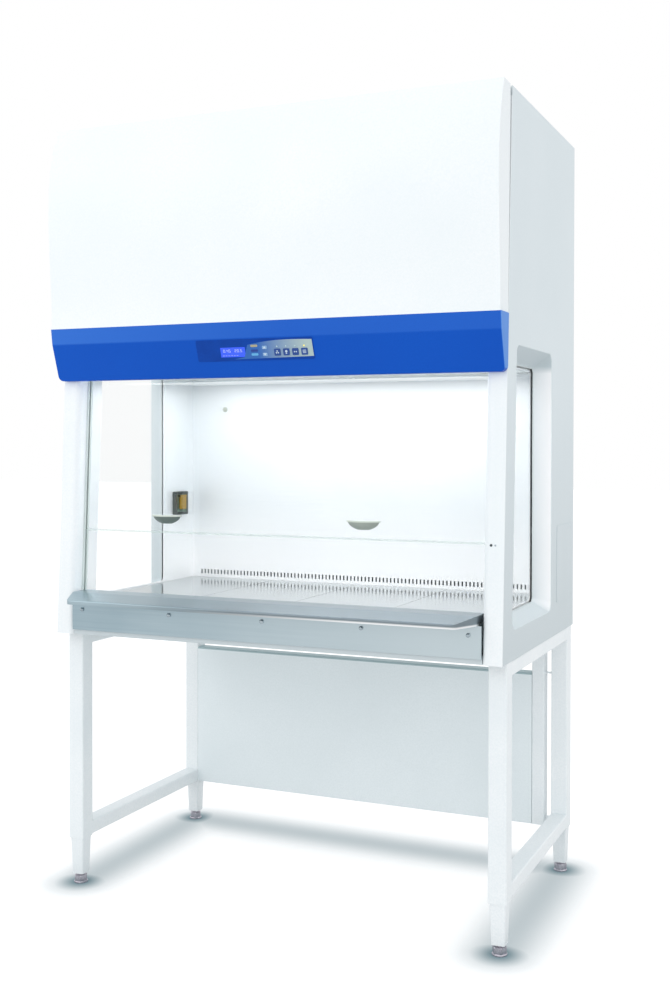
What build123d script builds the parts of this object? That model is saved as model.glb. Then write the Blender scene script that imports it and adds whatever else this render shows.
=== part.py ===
# A Class II biosafety cabinet on its support stand, as separate pieces.
# Units are millimetres, +X is to the user's right, +Y to the back and +Z up.
# The model is drawn with Y = 0 on the front face of the columns at the cabinet's
# bottom edge. export_piece then moves it so that the origin is the middle of
# the floor space that it takes.
import math
import os

from build123d import *

# ---- whole object ----
HALF_WIDTH = 670.0
BASE_Z = 745.0
TOP_Z = 2195.0
BACK_Y = 750.0
FRONT_SLOPE = 0.05
SKIN = 2.5
GAP = 0.5
FIT = 0.05
FRONT_REACH = 82.0
ORIGIN_Y = (BACK_Y - FRONT_REACH) / 2
SLOPE_DIR = (0, FRONT_SLOPE, 1)
SLOPE_LENGTH = math.sqrt(1 + FRONT_SLOPE**2)

# ---- work zone ----
CHAMBER_HALF = 610.0
WORKTOP_Z = 846.0
CEILING_Z = 1506.0
BACK_WALL_Y = 644.0
LINER = 2.0

# ---- stand ----
LEG = 50.0
LEG_X = 643.0
LEG_FRONT_Y = 75.0
LEG_BACK_Y = 715.0
LEG_FOOT_Z = 137.0
RAIL_HEIGHT = 40.0
TUBE_WALL = 2.5
TUBE_ROUND = 5.0
UPRIGHT_X0 = 558.0
UPRIGHT_X1 = 598.0

# ---- leg sleeves and levelling feet ----
SLEEVE_TOP = 43.0
SLEEVE_LOW = 36.0
SLEEVE_LOW_Z = 28.0
SLEEVE_ROUND = 5.0
FLANGE = 3.0
PLUG = 45.0
PLUG_CLEAR = 0.2
STUD_RADIUS = 6.0
STUD_CLEAR = 0.1
STUD_TOP_Z = 150.0
PAD_RADIUS = 20.0
PAD_HEIGHT = 5.0
HEX_HEIGHT = 17.0

# ---- modesty panel ----
MODESTY_LOW_Z = LEG_FOOT_Z
MODESTY_HIGH_Z = 598.0
MODESTY_DEPTH = 40.0
MODESTY_SHEET = 1.5
MODESTY_LIP = 12.0
TIE_Y = 12.0
TIE_WIDE = 16.0
TIE_THICK = 3.0

# ---- side windows ----
WINDOW_FRONT = 83.0
WINDOW_BACK = 484.0
WINDOW_LOW = 820.0
WINDOW_HIGH = 1550.0
INNER_FRONT = 95.0
INNER_BACK = 466.0
INNER_LOW = 847.0
INNER_HIGH = 1508.0
GLASS_X = 612.0
SIDE_GLASS = 6.0

# ---- columns, roof and exhaust opening ----
COLUMN_X = 616.0
COLUMN_RETURN = 37.0
COLUMN_RADIUS = 16.0
ROOF_FOLD = 26.0
EXHAUST_X0, EXHAUST_X1 = 120.0, 560.0
EXHAUST_Y0, EXHAUST_Y1 = 220.0, 600.0

SLOT_LONG = 48.0
SLOT_WIDE = 16.0

# ---- back panel, base pan and service cover ----
RIB_X = 300.0
RIB_HALF = 15.0
RIB_DEPTH = 6.0
RIB_END = 60.0
BASE_FRONT_Y = 8.0
BASE_RIM = 22.0
BEARER_HALF = 580.0
BEARER_WIDE = 40.0
BEARER_Y = (110.0, 560.0)
COVER_Y0, COVER_Y1 = 544.0, 722.0
COVER_Z0, COVER_Z1 = 836.0, 1058.0
COVER_THICK = 1.5
COVER_SCREW = 4.0
COVER_MARGIN = 12.0

# ---- trays ----
TRAY_COUNT = 4
TRAY_FRONT_Y = 152.0
TRAY_DEPTH_Z = 15.0
TRAY_SHEET = 1.5
TRAY_PITCH = 2 * (CHAMBER_HALF - 1) / TRAY_COUNT

# ---- drain pan, apron and grille ----
PAN_LOW_Z = 776.0
LEDGE_Z = WORKTOP_Z - TRAY_DEPTH_Z - 0.4
APRON_LOW_Z = 759.0
APRON_RETURN = 7.5
APRON_HIGH_Z = 842.0
KNOB_PITCH = 291.0
KNOB_Z = 818.0
KNOB_RADIUS = 5.5
GRILLE_FRONT_Y = 3.0
GRILLE_BACK_Y = TRAY_FRONT_Y - 1
GRILLE_SLOTS = 40
GRILLE_SLOT_WIDE = 8.0

# ---- back wall's slots and ceiling diffuser ----
SLOT_PITCH = 12.5
SLOT_COUNT = 93
SLOT_WIDTH = 5.0
SLOT_LOW_Z = 857.0
SLOT_HIGH_Z = 872.0
DIFFUSER_COLUMNS = 20
DIFFUSER_ROWS = 7

# ---- armrest ----
ARM_BACK_HALF = 608.0
ARM_FRONT_HALF = 574.0
ARM_BACK_Y = 54.0
ARM_SPLAY_Y = -8.0
ARM_CREST_Z = 868.0
ARM_NOSE_Z = 855.0
ARM_LIP_Z = 843.0
ARM_SHEET = 2.0
ARM_CREST_ROUND = 12.0
ARM_NOSE_ROUND = 4.0
ARM_CORNER_ROUND = 14.0

# ---- drain valve ----
VALVE_X = 420.0
VALVE_Y = 330.0
VALVE_PIPE = 10.0
VALVE_Z = 716.0
LEVER_Y = VALVE_Y - 19

# ---- socket outlet ----
OUTLET_Y0, OUTLET_Y1 = 517.0, 590.0
OUTLET_Z0, OUTLET_Z1 = 1060.0, 1136.0
OUTLET_FACE = -CHAMBER_HALF + 14
SOCKET_RADIUS = 16.0
FLAP_X = OUTLET_FACE + 3.5
FLAP_Z = OUTLET_Z1 - 14
FLAP_HALF = 18.0
FLAP_ROD = 1.5
FLAP_EAR = 4.0

# ---- hood and its hinge ----
HOOD_LOW_Z = 1621.0
HOOD_HALF = 669.5
HOOD_SHEET = 2.0
HOOD_FRONT_LOW = -24.0
HOOD_BOW = ((-37.0, 1890.0), (-27.0, 2090.0))
HOOD_CREST_Y = 4.0
HINGE_Y = 66.0
HINGE_Z = 2190.0
BARREL = 90.0
BARREL_RADIUS = 4.5
PIN_RADIUS = 2.0
DOOR_BARRELS = (-450.0, 0.0, 450.0)
HINGE_HALF = 610.0

# ---- fascia ----
FASCIA_LOW_Z = 1474.0
FOLD_Y = -18.0
FOLD_Z = 1577.0
FASCIA_LIP_Y = 14.0
FASCIA_HALF = 672.0
FASCIA_WALL = 3.0
FASCIA_CORNER = 15.0
BAND_PLANE = Plane(origin=(0, FOLD_Y, FOLD_Z), x_dir=(1, 0, 0),
                   z_dir=(0, -(FOLD_Z - FASCIA_LOW_Z), -(FASCIA_LIP_Y - FOLD_Y)))

# ---- control panel, drawn on the fascia's sloped band from its fold line ----
PANEL_X0, PANEL_X1 = -195.0, 158.0
PANEL_Y0, PANEL_Y1 = -62.0, -3.0
PANEL_THICK = 1.0
DISPLAY_CENTRE = (-84.0, -38.0)
DISPLAY_SIZE = (76.0, 27.0)
KEY_SIZE = 18.5
KEY_X = (51.0, 77.7, 104.4, 131.1)
KEY_Y = -41.0
ARROW_X = 14.0
ARROW_Y = (-27.0, -46.0)
ARROW_SIZE = (14.0, 9.0)
KEY_CLEAR = 0.4

# ---- sash ----
SASH_HALF = 630.0
SASH_FRONT = 41.0
SASH_GLASS = 6.0
SASH_LOW_Z = 1042.0
SASH_HIGH_Z = 1700.0
GRIP_CENTRES = (-335.0, 272.0)
GRIP_HALF = 50.0
GRIP_TOP_Z = 1092.0
GRIP_REACH = 26.0
GRIP_LEDGE = 4.0
CARRIER_LOW_Z = 1668.0
GUIDE_X0 = CHAMBER_HALF + 1
GUIDE_X1 = 637.0

# ---- cable loops, pulleys and counterweights ----
LOOP_X = 648.0
LOOP_FRONT = 22.0
LOOP_RADIUS = 22.0
LOOP_LOW_Z = 800.0
LOOP_HIGH_Z = 2112.0
LOOP_AXIS = LOOP_FRONT + LOOP_RADIUS
CABLE = 2.4
PULLEY_RADIUS = 26.0
SHAFT_RADIUS = 6.0
AXLE_RADIUS = 4.0
BOSS_RADIUS = 15.0
BOSS_LENGTH = 12.0
WEIGHT_LENGTH = 700.0
WEIGHT_LOW_Z = 1190.0
WEIGHT_FRONT = 55.0
WEIGHT_BACK = 79.0

# ---- filters and plenum ----
FILTER_X = 612.0
FILTER_Y0, FILTER_Y1 = 104.0, 646.0
FILTER_LOW_Z, FILTER_HIGH_Z = 1524.0, 1592.0
EXHAUST_LOW_Z = 2096.0
PLENUM_HIGH_Z = 1700.0

# ---- blower ----
BLOWER_X0, BLOWER_X1 = -330.0, -70.0
BLOWER_Y, BLOWER_Z = 372.0, 1905.0
SCROLL_RADIUS = 170.0
IMPELLER_RADIUS = 118.0
BLADES = 24
MOTOR_SHAFT = 10.0
MOTOR_RADIUS = 62.0
MOTOR_LENGTH = 120.0
MOTOR_CAP = 40.0

# ---- work lamp ----
LAMP_RADIUS = 13.0
LAMP_TUBE_Y = 20.0
LAMP_TUBE_Z = 1545.0
LAMP_HALF = 590.0
LAMP_CAP = 8.0


def slope_y(z):
    """Depth of the sloped front plane at a height."""
    return FRONT_SLOPE * (z - BASE_Z)


def block(x0, x1, y0, y1, z0, z1):
    """A box between two corners."""
    return Pos((x0 + x1) / 2, (y0 + y1) / 2, (z0 + z1) / 2) * Box(x1 - x0, y1 - y0, z1 - z0)


def sloped(section, z0, z1):
    """Extrude a section, drawn around the front plane, up along the sloped front."""
    placed = Pos(0, slope_y(z0), z0) * section
    return extrude(placed, amount=(z1 - z0) * SLOPE_LENGTH, dir=SLOPE_DIR)


def plan_box(x0, x1, y0, y1):
    """A rectangle in plan between two corners."""
    return Pos((x0 + x1) / 2, (y0 + y1) / 2) * Rectangle(x1 - x0, y1 - y0)


def sloped_box(x0, x1, y0, y1, z0, z1):
    """A box that leans back with the front plane."""
    return sloped(plan_box(x0, x1, y0, y1), z0, z1)


def side_outline(points, x):
    """A face in the plane of the cabinet's side from (y, z) points."""
    return make_face(Polyline([(x, y, z) for y, z in points], close=True))


def rod_x(x0, x1, y, z, radius):
    """A round bar along X."""
    return Pos((x0 + x1) / 2, y, z) * Rot(0, 90, 0) * Cylinder(radius, x1 - x0)


def rod_z(x, y, z0, z1, radius):
    """A round bar along Z."""
    return Pos(x, y, (z0 + z1) / 2) * Cylinder(radius, z1 - z0)


def mirrored(shape):
    """The left-hand version of a right-hand piece."""
    return mirror(shape, about=Plane.YZ)


def export_piece(name, *shapes):
    """Move a piece to the part's own frame and write it."""
    solids = [solid for shape in shapes for solid in shape.solids()]
    piece = solids[0] if len(solids) == 1 else Compound(children=solids)
    export_step(piece.moved(Location((0, -ORIGIN_Y, 0))), f"parts/{name}.step")


# ---------------------------------------------------------------- stand

def bar(x0, x1, y0, y1, z0, z1, axis, radius):
    """A solid bar whose four edges along one axis are rounded."""
    body = block(x0, x1, y0, y1, z0, z1)
    return fillet(body.edges().filter_by(axis), radius)


def stand_side_frame():
    """Right side frame of square tube: two legs, a rail under the cabinet and a low rail, welded."""
    half, wall = LEG / 2, TUBE_WALL
    x0, x1 = LEG_X - half, LEG_X + half
    y0, y1 = LEG_FRONT_Y + half, LEG_BACK_Y - half
    frame, cores = Part(), []
    for y in (LEG_FRONT_Y, LEG_BACK_Y):
        frame += bar(x0, x1, y - half, y + half, LEG_FOOT_Z, BASE_Z, Axis.Z, TUBE_ROUND)
        cores.append(bar(x0 + wall, x1 - wall, y - half + wall, y + half - wall,
                         LEG_FOOT_Z - 1, BASE_Z + 1, Axis.Z, TUBE_ROUND - wall))
    for z in (LEG_FOOT_Z, BASE_Z - RAIL_HEIGHT):
        frame += bar(x0, x1, LEG_FRONT_Y, LEG_BACK_Y, z, z + RAIL_HEIGHT, Axis.Y, TUBE_ROUND)
        cores.append(bar(x0 + wall, x1 - wall, y0, y1, z + wall, z + RAIL_HEIGHT - wall,
                         Axis.Y, TUBE_ROUND - wall))
    return frame - cores


def stand_rear_frame():
    """Rail between the rear legs, with the upright that carries the modesty panel's right end."""
    x = LEG_X - LEG / 2
    y = LEG_BACK_Y - LEG / 2
    wall, low = TUBE_WALL, BASE_Z - RAIL_HEIGHT
    y0, y1 = y + LEG - RAIL_HEIGHT, y + LEG
    rail = bar(-x, x, y0, y1, low, BASE_Z, Axis.X, TUBE_ROUND)
    rail -= bar(-x - 1, x + 1, y0 + wall, y1 - wall, low + wall, BASE_Z - wall, Axis.X, TUBE_ROUND - wall)
    upright = bar(UPRIGHT_X0, UPRIGHT_X1, y, y + MODESTY_DEPTH, LEG_FOOT_Z, low, Axis.Z, TUBE_ROUND)
    upright -= bar(UPRIGHT_X0 + wall, UPRIGHT_X1 - wall, y + wall, y + MODESTY_DEPTH - wall,
                   LEG_FOOT_Z - 1, low + 1 - wall, Axis.Z, TUBE_ROUND - wall)
    ties = [block(UPRIGHT_X1 - 1, x, y + TIE_Y, y + TIE_Y + TIE_WIDE, z, z + TIE_THICK)
            for z in (LEG_FOOT_Z + 20, MODESTY_HIGH_Z)]
    return rail + upright + ties


def leg_sleeve(x, y):
    """Tapered sleeve with an end flange and a plug for the leg tube, bored for the levelling stud."""
    half = LEG / 2 - TUBE_WALL - PLUG_CLEAR
    lower = Pos(x, y, SLEEVE_LOW_Z) * RectangleRounded(SLEEVE_LOW, SLEEVE_LOW, SLEEVE_ROUND)
    upper = Pos(x, y, LEG_FOOT_Z - FLANGE) * RectangleRounded(SLEEVE_TOP, SLEEVE_TOP, SLEEVE_ROUND)
    rim = Pos(x, y, LEG_FOOT_Z - FLANGE) * RectangleRounded(LEG - 1, LEG - 1, TUBE_ROUND)
    flange = extrude(rim, amount=FLANGE)
    plug = bar(x - half, x + half, y - half, y + half, LEG_FOOT_Z, LEG_FOOT_Z + PLUG,
               Axis.Z, TUBE_ROUND - TUBE_WALL)
    body = loft([lower, upper]) + flange + plug
    return body - rod_z(x, y, SLEEVE_LOW_Z - 1, LEG_FOOT_Z + PLUG + 1, STUD_RADIUS + STUD_CLEAR)


def levelling_foot(x, y):
    """Round pad under a wide hexagon, and the threaded stud that screws out of the sleeve."""
    half = [(0, 0), (PAD_RADIUS, 0), (PAD_RADIUS, 3), (PAD_RADIUS - 2, PAD_HEIGHT), (0, PAD_HEIGHT)]
    pad = revolve(make_face(Polyline([(r, 0, z) for r, z in half], close=True)), Axis.Z)
    hexagon = extrude(Pos(0, 0, PAD_HEIGHT) * RegularPolygon(PAD_RADIUS - 1, 6), amount=HEX_HEIGHT)
    crown = Pos(0, 0, PAD_HEIGHT + HEX_HEIGHT / 2) * Cone(PAD_RADIUS + 6, PAD_RADIUS - 2.5, HEX_HEIGHT)
    return Pos(x, y) * (pad + (hexagon & crown)) + rod_z(x, y, PAD_HEIGHT, STUD_TOP_Z, STUD_RADIUS)


def modesty_panel():
    """Folded sheet across the back of the stand, from the left rear leg to the upright."""
    x0, x1 = -(LEG_X - LEG / 2), UPRIGHT_X0
    y0, y1 = LEG_BACK_Y - LEG / 2, LEG_BACK_Y - LEG / 2 + MODESTY_DEPTH
    sheet = MODESTY_SHEET
    panel = block(x0, x1, y0, y1, MODESTY_LOW_Z, MODESTY_HIGH_Z)
    panel = fillet(panel.edges().filter_by(Axis.X).group_by(Axis.Y)[0], 2 * sheet)
    core = block(x0 + sheet, x1 - sheet, y0 + sheet, y1 - sheet,
                 MODESTY_LOW_Z + sheet, MODESTY_HIGH_Z - sheet)
    core = fillet(core.edges().filter_by(Axis.X).group_by(Axis.Y)[0], sheet)
    opening = block(x0 + sheet, x1 - sheet, y1 - 2 * sheet, y1 + 1,
                    MODESTY_LOW_Z + MODESTY_LIP, MODESTY_HIGH_Z - MODESTY_LIP)
    return panel - core - opening


# ---------------------------------------------------------------- housing


def window_shape(x, grow, low, high, front, back, radius):
    """Outline of a side window whose front edge is parallel to the sloped front."""
    points = [(slope_y(low) + front - grow, low - grow), (back + grow, low - grow),
              (back + grow, high + grow), (slope_y(high) + front - grow, high + grow)]
    face = side_outline(points, x)
    return fillet(face.vertices(), radius + grow)


def window_funnel(grow):
    """Solid inside of the splayed window recess, from the glass to the outer skin."""
    inner_x = GLASS_X + SIDE_GLASS
    inner = window_shape(inner_x, grow, INNER_LOW, INNER_HIGH, INNER_FRONT, INNER_BACK, 14)
    outer = window_shape(HALF_WIDTH, grow, WINDOW_LOW, WINDOW_HIGH, WINDOW_FRONT, WINDOW_BACK, 26)
    return loft([inner, outer])


def side_panel():
    """Right outer side: folded sheet with the splayed window recess and the pulley bosses."""
    outline = [(SKIN, BASE_Z), (BACK_Y, BASE_Z), (BACK_Y, TOP_Z), (slope_y(TOP_Z) + SKIN, TOP_Z)]
    skin = extrude(side_outline(outline, HALF_WIDTH - SKIN), amount=SKIN, dir=(1, 0, 0))
    rear_fold = block(HALF_WIDTH - 25, HALF_WIDTH, BACK_Y - SKIN, BACK_Y, BASE_Z, TOP_Z)
    funnel_wall = window_funnel(SKIN) - window_funnel(0)
    panel = (skin - window_funnel(0)) + rear_fold + funnel_wall
    inside = HALF_WIDTH - SKIN
    for z in (LOOP_LOW_Z, LOOP_HIGH_Z):
        panel += rod_x(inside - BOSS_LENGTH, inside, slope_y(z) + LOOP_AXIS, z, BOSS_RADIUS)
    low_y = slope_y(LOOP_LOW_Z) + LOOP_AXIS
    high_y = slope_y(LOOP_HIGH_Z) + LOOP_AXIS
    panel += rod_x(LOOP_X - 9, inside, low_y, LOOP_LOW_Z, AXLE_RADIUS)
    return panel - rod_x(inside - BOSS_LENGTH - 1, inside - 1, high_y, LOOP_HIGH_Z, SHAFT_RADIUS + FIT)


def front_column():
    """Right front column: a folded sheet with a large rounded inner edge."""
    outer = plan_box(COLUMN_X, HALF_WIDTH, 0, COLUMN_RETURN)
    outer = fillet(outer.vertices().sort_by(lambda v: v.X + v.Y)[0], COLUMN_RADIUS)
    inner = plan_box(COLUMN_X + SKIN, HALF_WIDTH + 1, SKIN, COLUMN_RETURN + 1)
    inner = fillet(inner.vertices().sort_by(lambda v: v.X + v.Y)[0], COLUMN_RADIUS - SKIN)
    return sloped(outer - inner, BASE_Z, TOP_Z - ROOF_FOLD)


def side_window():
    """Right safety glass pane against the work zone's wall."""
    pane = window_shape(GLASS_X, 9, INNER_LOW, INNER_HIGH, INNER_FRONT, INNER_BACK, 10)
    return extrude(pane, amount=SIDE_GLASS, dir=(1, 0, 0))


def side_liner():
    """Right stainless wall of the work zone, with its window opening."""
    front = SASH_FRONT + SASH_GLASS + 7
    outline = [(slope_y(LEDGE_Z) + front, LEDGE_Z), (BACK_WALL_Y, LEDGE_Z),
               (BACK_WALL_Y, FILTER_LOW_Z), (slope_y(FILTER_LOW_Z) + front, FILTER_LOW_Z)]
    sheet = extrude(side_outline(outline, CHAMBER_HALF), amount=LINER, dir=(1, 0, 0))
    hole = window_shape(CHAMBER_HALF - 1, 0, INNER_LOW + 3, INNER_HIGH - 5,
                        INNER_FRONT + 2, INNER_BACK - 2, 12)
    return sheet - extrude(hole, amount=LINER + 2, dir=(1, 0, 0))


def back_panel():
    """Outer rear sheet, stiffened by two pressed ribs."""
    sheet = block(-HALF_WIDTH + 25, HALF_WIDTH - 25, BACK_Y - SKIN, BACK_Y, BASE_Z, TOP_Z)
    inside = BACK_Y - SKIN
    ribs = [block(x - RIB_HALF, x + RIB_HALF, inside - RIB_DEPTH, inside, BASE_Z + RIB_END, TOP_Z - RIB_END)
            for x in (-RIB_X, RIB_X)]
    return sheet + ribs


def top_panel():
    """Roof sheet with a folded front edge and a slotted guard over the exhaust opening."""
    x = HALF_WIDTH - SKIN
    front = HINGE_Y + 16
    roof = block(-x, x, front, BACK_Y - SKIN, TOP_Z - SKIN, TOP_Z)
    fold = block(-x, x, front, front + SKIN, TOP_Z - ROOF_FOLD, TOP_Z)
    columns, rows = 16, 6
    pitch_x = (EXHAUST_X1 - EXHAUST_X0) / columns
    pitch_y = (EXHAUST_Y1 - EXHAUST_Y0) / rows
    slots = []
    for i in range(columns):
        for j in range(rows):
            cx, cy = EXHAUST_X0 + (i + 0.5) * pitch_x, EXHAUST_Y0 + (j + 0.5) * pitch_y
            slots.append(block(cx - SLOT_WIDE / 2, cx + SLOT_WIDE / 2, cy - SLOT_LONG / 2,
                               cy + SLOT_LONG / 2, TOP_Z - 10, TOP_Z + 1))
    return (roof - slots) + fold


def cabinet_base():
    """Base pan on the stand, notched round the columns, with two bearers for the spill pan."""
    x, back = HALF_WIDTH - SKIN, BACK_Y - SKIN
    pan = block(-x, x, BASE_FRONT_Y, back, BASE_Z, BASE_Z + SKIN)
    pan += block(-COLUMN_X, COLUMN_X, BASE_FRONT_Y, BASE_FRONT_Y + SKIN, BASE_Z, BASE_Z + BASE_RIM)
    pan += block(-x, x, back - SKIN, back, BASE_Z, BASE_Z + BASE_RIM)
    notch_half = HALF_WIDTH - LEG_X
    for x_mid in (-LEG_X, LEG_X):
        pan -= block(x_mid - notch_half, x_mid + notch_half, 0, COLUMN_RETURN + 2, BASE_Z - 1, BASE_Z + 30)
    for y in BEARER_Y:
        bearer = block(-BEARER_HALF, BEARER_HALF, y, y + BEARER_WIDE, BASE_Z, PAN_LOW_Z)
        bearer -= block(-BEARER_HALF - 1, BEARER_HALF + 1, y + SKIN, y + BEARER_WIDE - SKIN,
                        BASE_Z - 1, PAN_LOW_Z - SKIN)
        pan += bearer
    return pan - rod_z(VALVE_X, VALVE_Y, BASE_Z - 5, BASE_Z + 30, VALVE_PIPE + 2)


def service_cover():
    """Screwed cover plate low on the right side, near the back."""
    corners = [(COVER_Y0, COVER_Z0), (COVER_Y1, COVER_Z0), (COVER_Y1, COVER_Z1), (COVER_Y0, COVER_Z1)]
    face = fillet(side_outline(corners, HALF_WIDTH).vertices(), 6)
    plate = extrude(face, amount=COVER_THICK, dir=(1, 0, 0))
    for y in (COVER_Y0 + COVER_MARGIN, COVER_Y1 - COVER_MARGIN):
        for z in (COVER_Z0 + COVER_MARGIN, COVER_Z1 - COVER_MARGIN):
            plate += rod_x(HALF_WIDTH + 1, FASCIA_HALF, y, z, COVER_SCREW)
    return plate


# ---------------------------------------------------------------- work zone


def back_wall():
    """Stainless back wall with one row of return-air slots just above the worktop."""
    y0, y1 = BACK_WALL_Y, BACK_WALL_Y + LINER
    wall = block(-CHAMBER_HALF - LINER, CHAMBER_HALF + LINER, y0, y1, LEDGE_Z, FILTER_LOW_Z)
    first = -(SLOT_COUNT - 1) / 2 * SLOT_PITCH
    slots = [block(first + i * SLOT_PITCH - SLOT_WIDTH / 2, first + i * SLOT_PITCH + SLOT_WIDTH / 2,
                   y0 - 1, y1 + 1, SLOT_LOW_Z, SLOT_HIGH_Z) for i in range(SLOT_COUNT)]
    return wall - slots


def work_tray(index):
    """One lift-out tray: a flat sheet with folded sides."""
    x0 = -(CHAMBER_HALF - 1) + index * TRAY_PITCH + 0.5
    x1 = x0 + TRAY_PITCH - 1
    y0, y1 = TRAY_FRONT_Y, BACK_WALL_Y - 1.5
    z1 = WORKTOP_Z
    z0 = z1 - TRAY_DEPTH_Z
    body = block(x0, x1, y0, y1, z0, z1)
    return body - block(x0 + TRAY_SHEET, x1 - TRAY_SHEET, y0 + TRAY_SHEET, y1 - TRAY_SHEET,
                        z0 - 1, z1 - TRAY_SHEET)


def drain_pan():
    """Spill pan under the trays, with ledges for them and the deep front apron."""
    x, y1 = CHAMBER_HALF + LINER, BACK_WALL_Y + LINER
    pan = block(-x, x, 0, y1, PAN_LOW_Z, LEDGE_Z)
    pan -= block(-x + LINER, x - LINER, LINER, y1 - LINER, PAN_LOW_Z + LINER, LEDGE_Z + 1)
    reach = COLUMN_X - 0.4
    pan += block(-reach, reach, 0, LINER, APRON_LOW_Z, APRON_HIGH_Z)
    pan += block(-reach, reach, 0, APRON_RETURN, APRON_LOW_Z, APRON_LOW_Z + LINER)
    for x0, x1 in ((-reach, LINER - reach), (reach - LINER, reach)):
        pan += block(x0, x1, 0, APRON_RETURN, APRON_LOW_Z, APRON_HIGH_Z)
    pan += block(-x, x, 0, 14, LEDGE_Z - LINER, LEDGE_Z)
    bar = block(-x, x, TRAY_FRONT_Y - 6, TRAY_FRONT_Y + 14, PAN_LOW_Z + 20, LEDGE_Z)
    bar -= block(-x - 1, x + 1, TRAY_FRONT_Y - 4, TRAY_FRONT_Y + 12, PAN_LOW_Z + 19, LEDGE_Z - LINER)
    rear_ledge = block(-x, x, y1 - 18, y1, LEDGE_Z - LINER, LEDGE_Z)
    drain = rod_z(VALVE_X, VALVE_Y, PAN_LOW_Z - 1, PAN_LOW_Z + 5, VALVE_PIPE - 3)
    return pan + bar + rear_ledge - drain


def apron_knobs():
    """Five domed screws along the apron."""
    standing = (Align.CENTER, Align.CENTER, Align.MIN)
    stem = Cylinder(KNOB_RADIUS, 3, align=standing)
    dome = Pos(0, 0, 3) * Cone(KNOB_RADIUS, 3, 2.5, align=standing)
    return [Pos(i * KNOB_PITCH, 0, KNOB_Z) * Rot(90, 0, 0) * (stem + dome) for i in (-2, -1, 0, 1, 2)]


def front_grille():
    """Air intake grille between the armrest and the trays, with a row of long slots."""
    x, y0 = CHAMBER_HALF - 1, GRILLE_FRONT_Y
    plate = block(-x, x, y0, GRILLE_BACK_Y, WORKTOP_Z - 2, WORKTOP_Z)
    plate += block(-x, x, y0, y0 + 2, LEDGE_Z, WORKTOP_Z)
    plate += block(-x, x, GRILLE_BACK_Y - 2, GRILLE_BACK_Y, LEDGE_Z, WORKTOP_Z)
    pitch = 2 * (x - 12) / GRILLE_SLOTS
    half = GRILLE_SLOT_WIDE / 2
    middles = [-x + 12 + (i + 0.5) * pitch for i in range(GRILLE_SLOTS)]
    slots = [block(middle - half, middle + half, 78, GRILLE_BACK_Y - 14, WORKTOP_Z - 3, WORKTOP_Z + 1)
             for middle in middles]
    return plate - slots


def armrest_shape(inset):
    """Armrest's outer form, or its inside: level crest, rest that falls to the nose, splayed ends."""
    crest, nose, low = ARM_CREST_Z - inset, inset - FRONT_REACH, ARM_LIP_Z - 2 * inset
    half = ARM_BACK_HALF
    points = [(ARM_BACK_Y - inset, low), (ARM_BACK_Y - inset, crest), (ARM_SPLAY_Y, crest),
              (nose, ARM_NOSE_Z - inset), (nose, low)]
    face = side_outline(points, -half)
    bends = face.vertices().filter_by(lambda v: v.Y < 0 and v.Z > low + 2).sort_by(Axis.Z)
    face = fillet(bends[-1], ARM_CREST_ROUND)
    bends = face.vertices().filter_by(lambda v: v.Y < 2 + nose and v.Z > low + 2)
    face = fillet(bends, ARM_NOSE_ROUND - inset)
    long_form = extrude(face, amount=2 * half, dir=(1, 0, 0))
    back, front = ARM_BACK_HALF - inset, ARM_FRONT_HALF - inset
    outline = Polyline([(-back, ARM_BACK_Y + 5), (-back, ARM_SPLAY_Y), (-front, nose), (front, nose),
                        (back, ARM_SPLAY_Y), (back, ARM_BACK_Y + 5)], close=True)
    plan = make_face(outline)
    plan = fillet(plan.vertices().group_by(Axis.Y)[0], ARM_CORNER_ROUND - inset)
    splays = plan.vertices().filter_by(lambda v: abs(v.Y - ARM_SPLAY_Y) < 1)
    plan = fillet(splays, 4 * ARM_CORNER_ROUND - inset)
    return long_form & extrude(Pos(0, 0, low - 1) * plan, amount=ARM_CREST_Z - low + 2)


def armrest():
    """Raised bent-sheet armrest: a rest that falls to a hemmed nose, closed at both ends."""
    shell = armrest_shape(0) - armrest_shape(ARM_SHEET)
    front = ARM_FRONT_HALF - ARM_CORNER_ROUND
    hem = block(-front, front, ARM_SHEET - FRONT_REACH, 12 - FRONT_REACH, ARM_LIP_Z, ARM_LIP_Z + ARM_SHEET)
    rear = block(-ARM_BACK_HALF - 1, ARM_BACK_HALF + 1, -0.5, ARM_BACK_Y + 6, ARM_LIP_Z - 6, WORKTOP_Z)
    feet = [block(x - 20, x + 20, 8, 50, WORKTOP_Z, ARM_CREST_Z - 1) for x in (-560, -190, 190, 560)]
    return shell - rear + hem + feet


def ceiling_diffuser():
    """Perforated ceiling sheet that spreads the downflow."""
    x = CHAMBER_HALF
    y0, y1 = slope_y(CEILING_Z) + 56, BACK_WALL_Y
    sheet = block(-x, x, y0, y1, CEILING_Z, CEILING_Z + 2)
    pitch_x = 2 * (x - 20) / DIFFUSER_COLUMNS
    pitch_y = (y1 - y0 - 40) / DIFFUSER_ROWS
    holes = []
    for i in range(DIFFUSER_COLUMNS):
        for j in range(DIFFUSER_ROWS):
            cx, cy = -x + 20 + (i + 0.5) * pitch_x, y0 + 20 + (j + 0.5) * pitch_y
            holes.append(block(cx - 20, cx + 20, cy - 15, cy + 15, CEILING_Z - 1, CEILING_Z + 3))
    return sheet - holes


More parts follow.
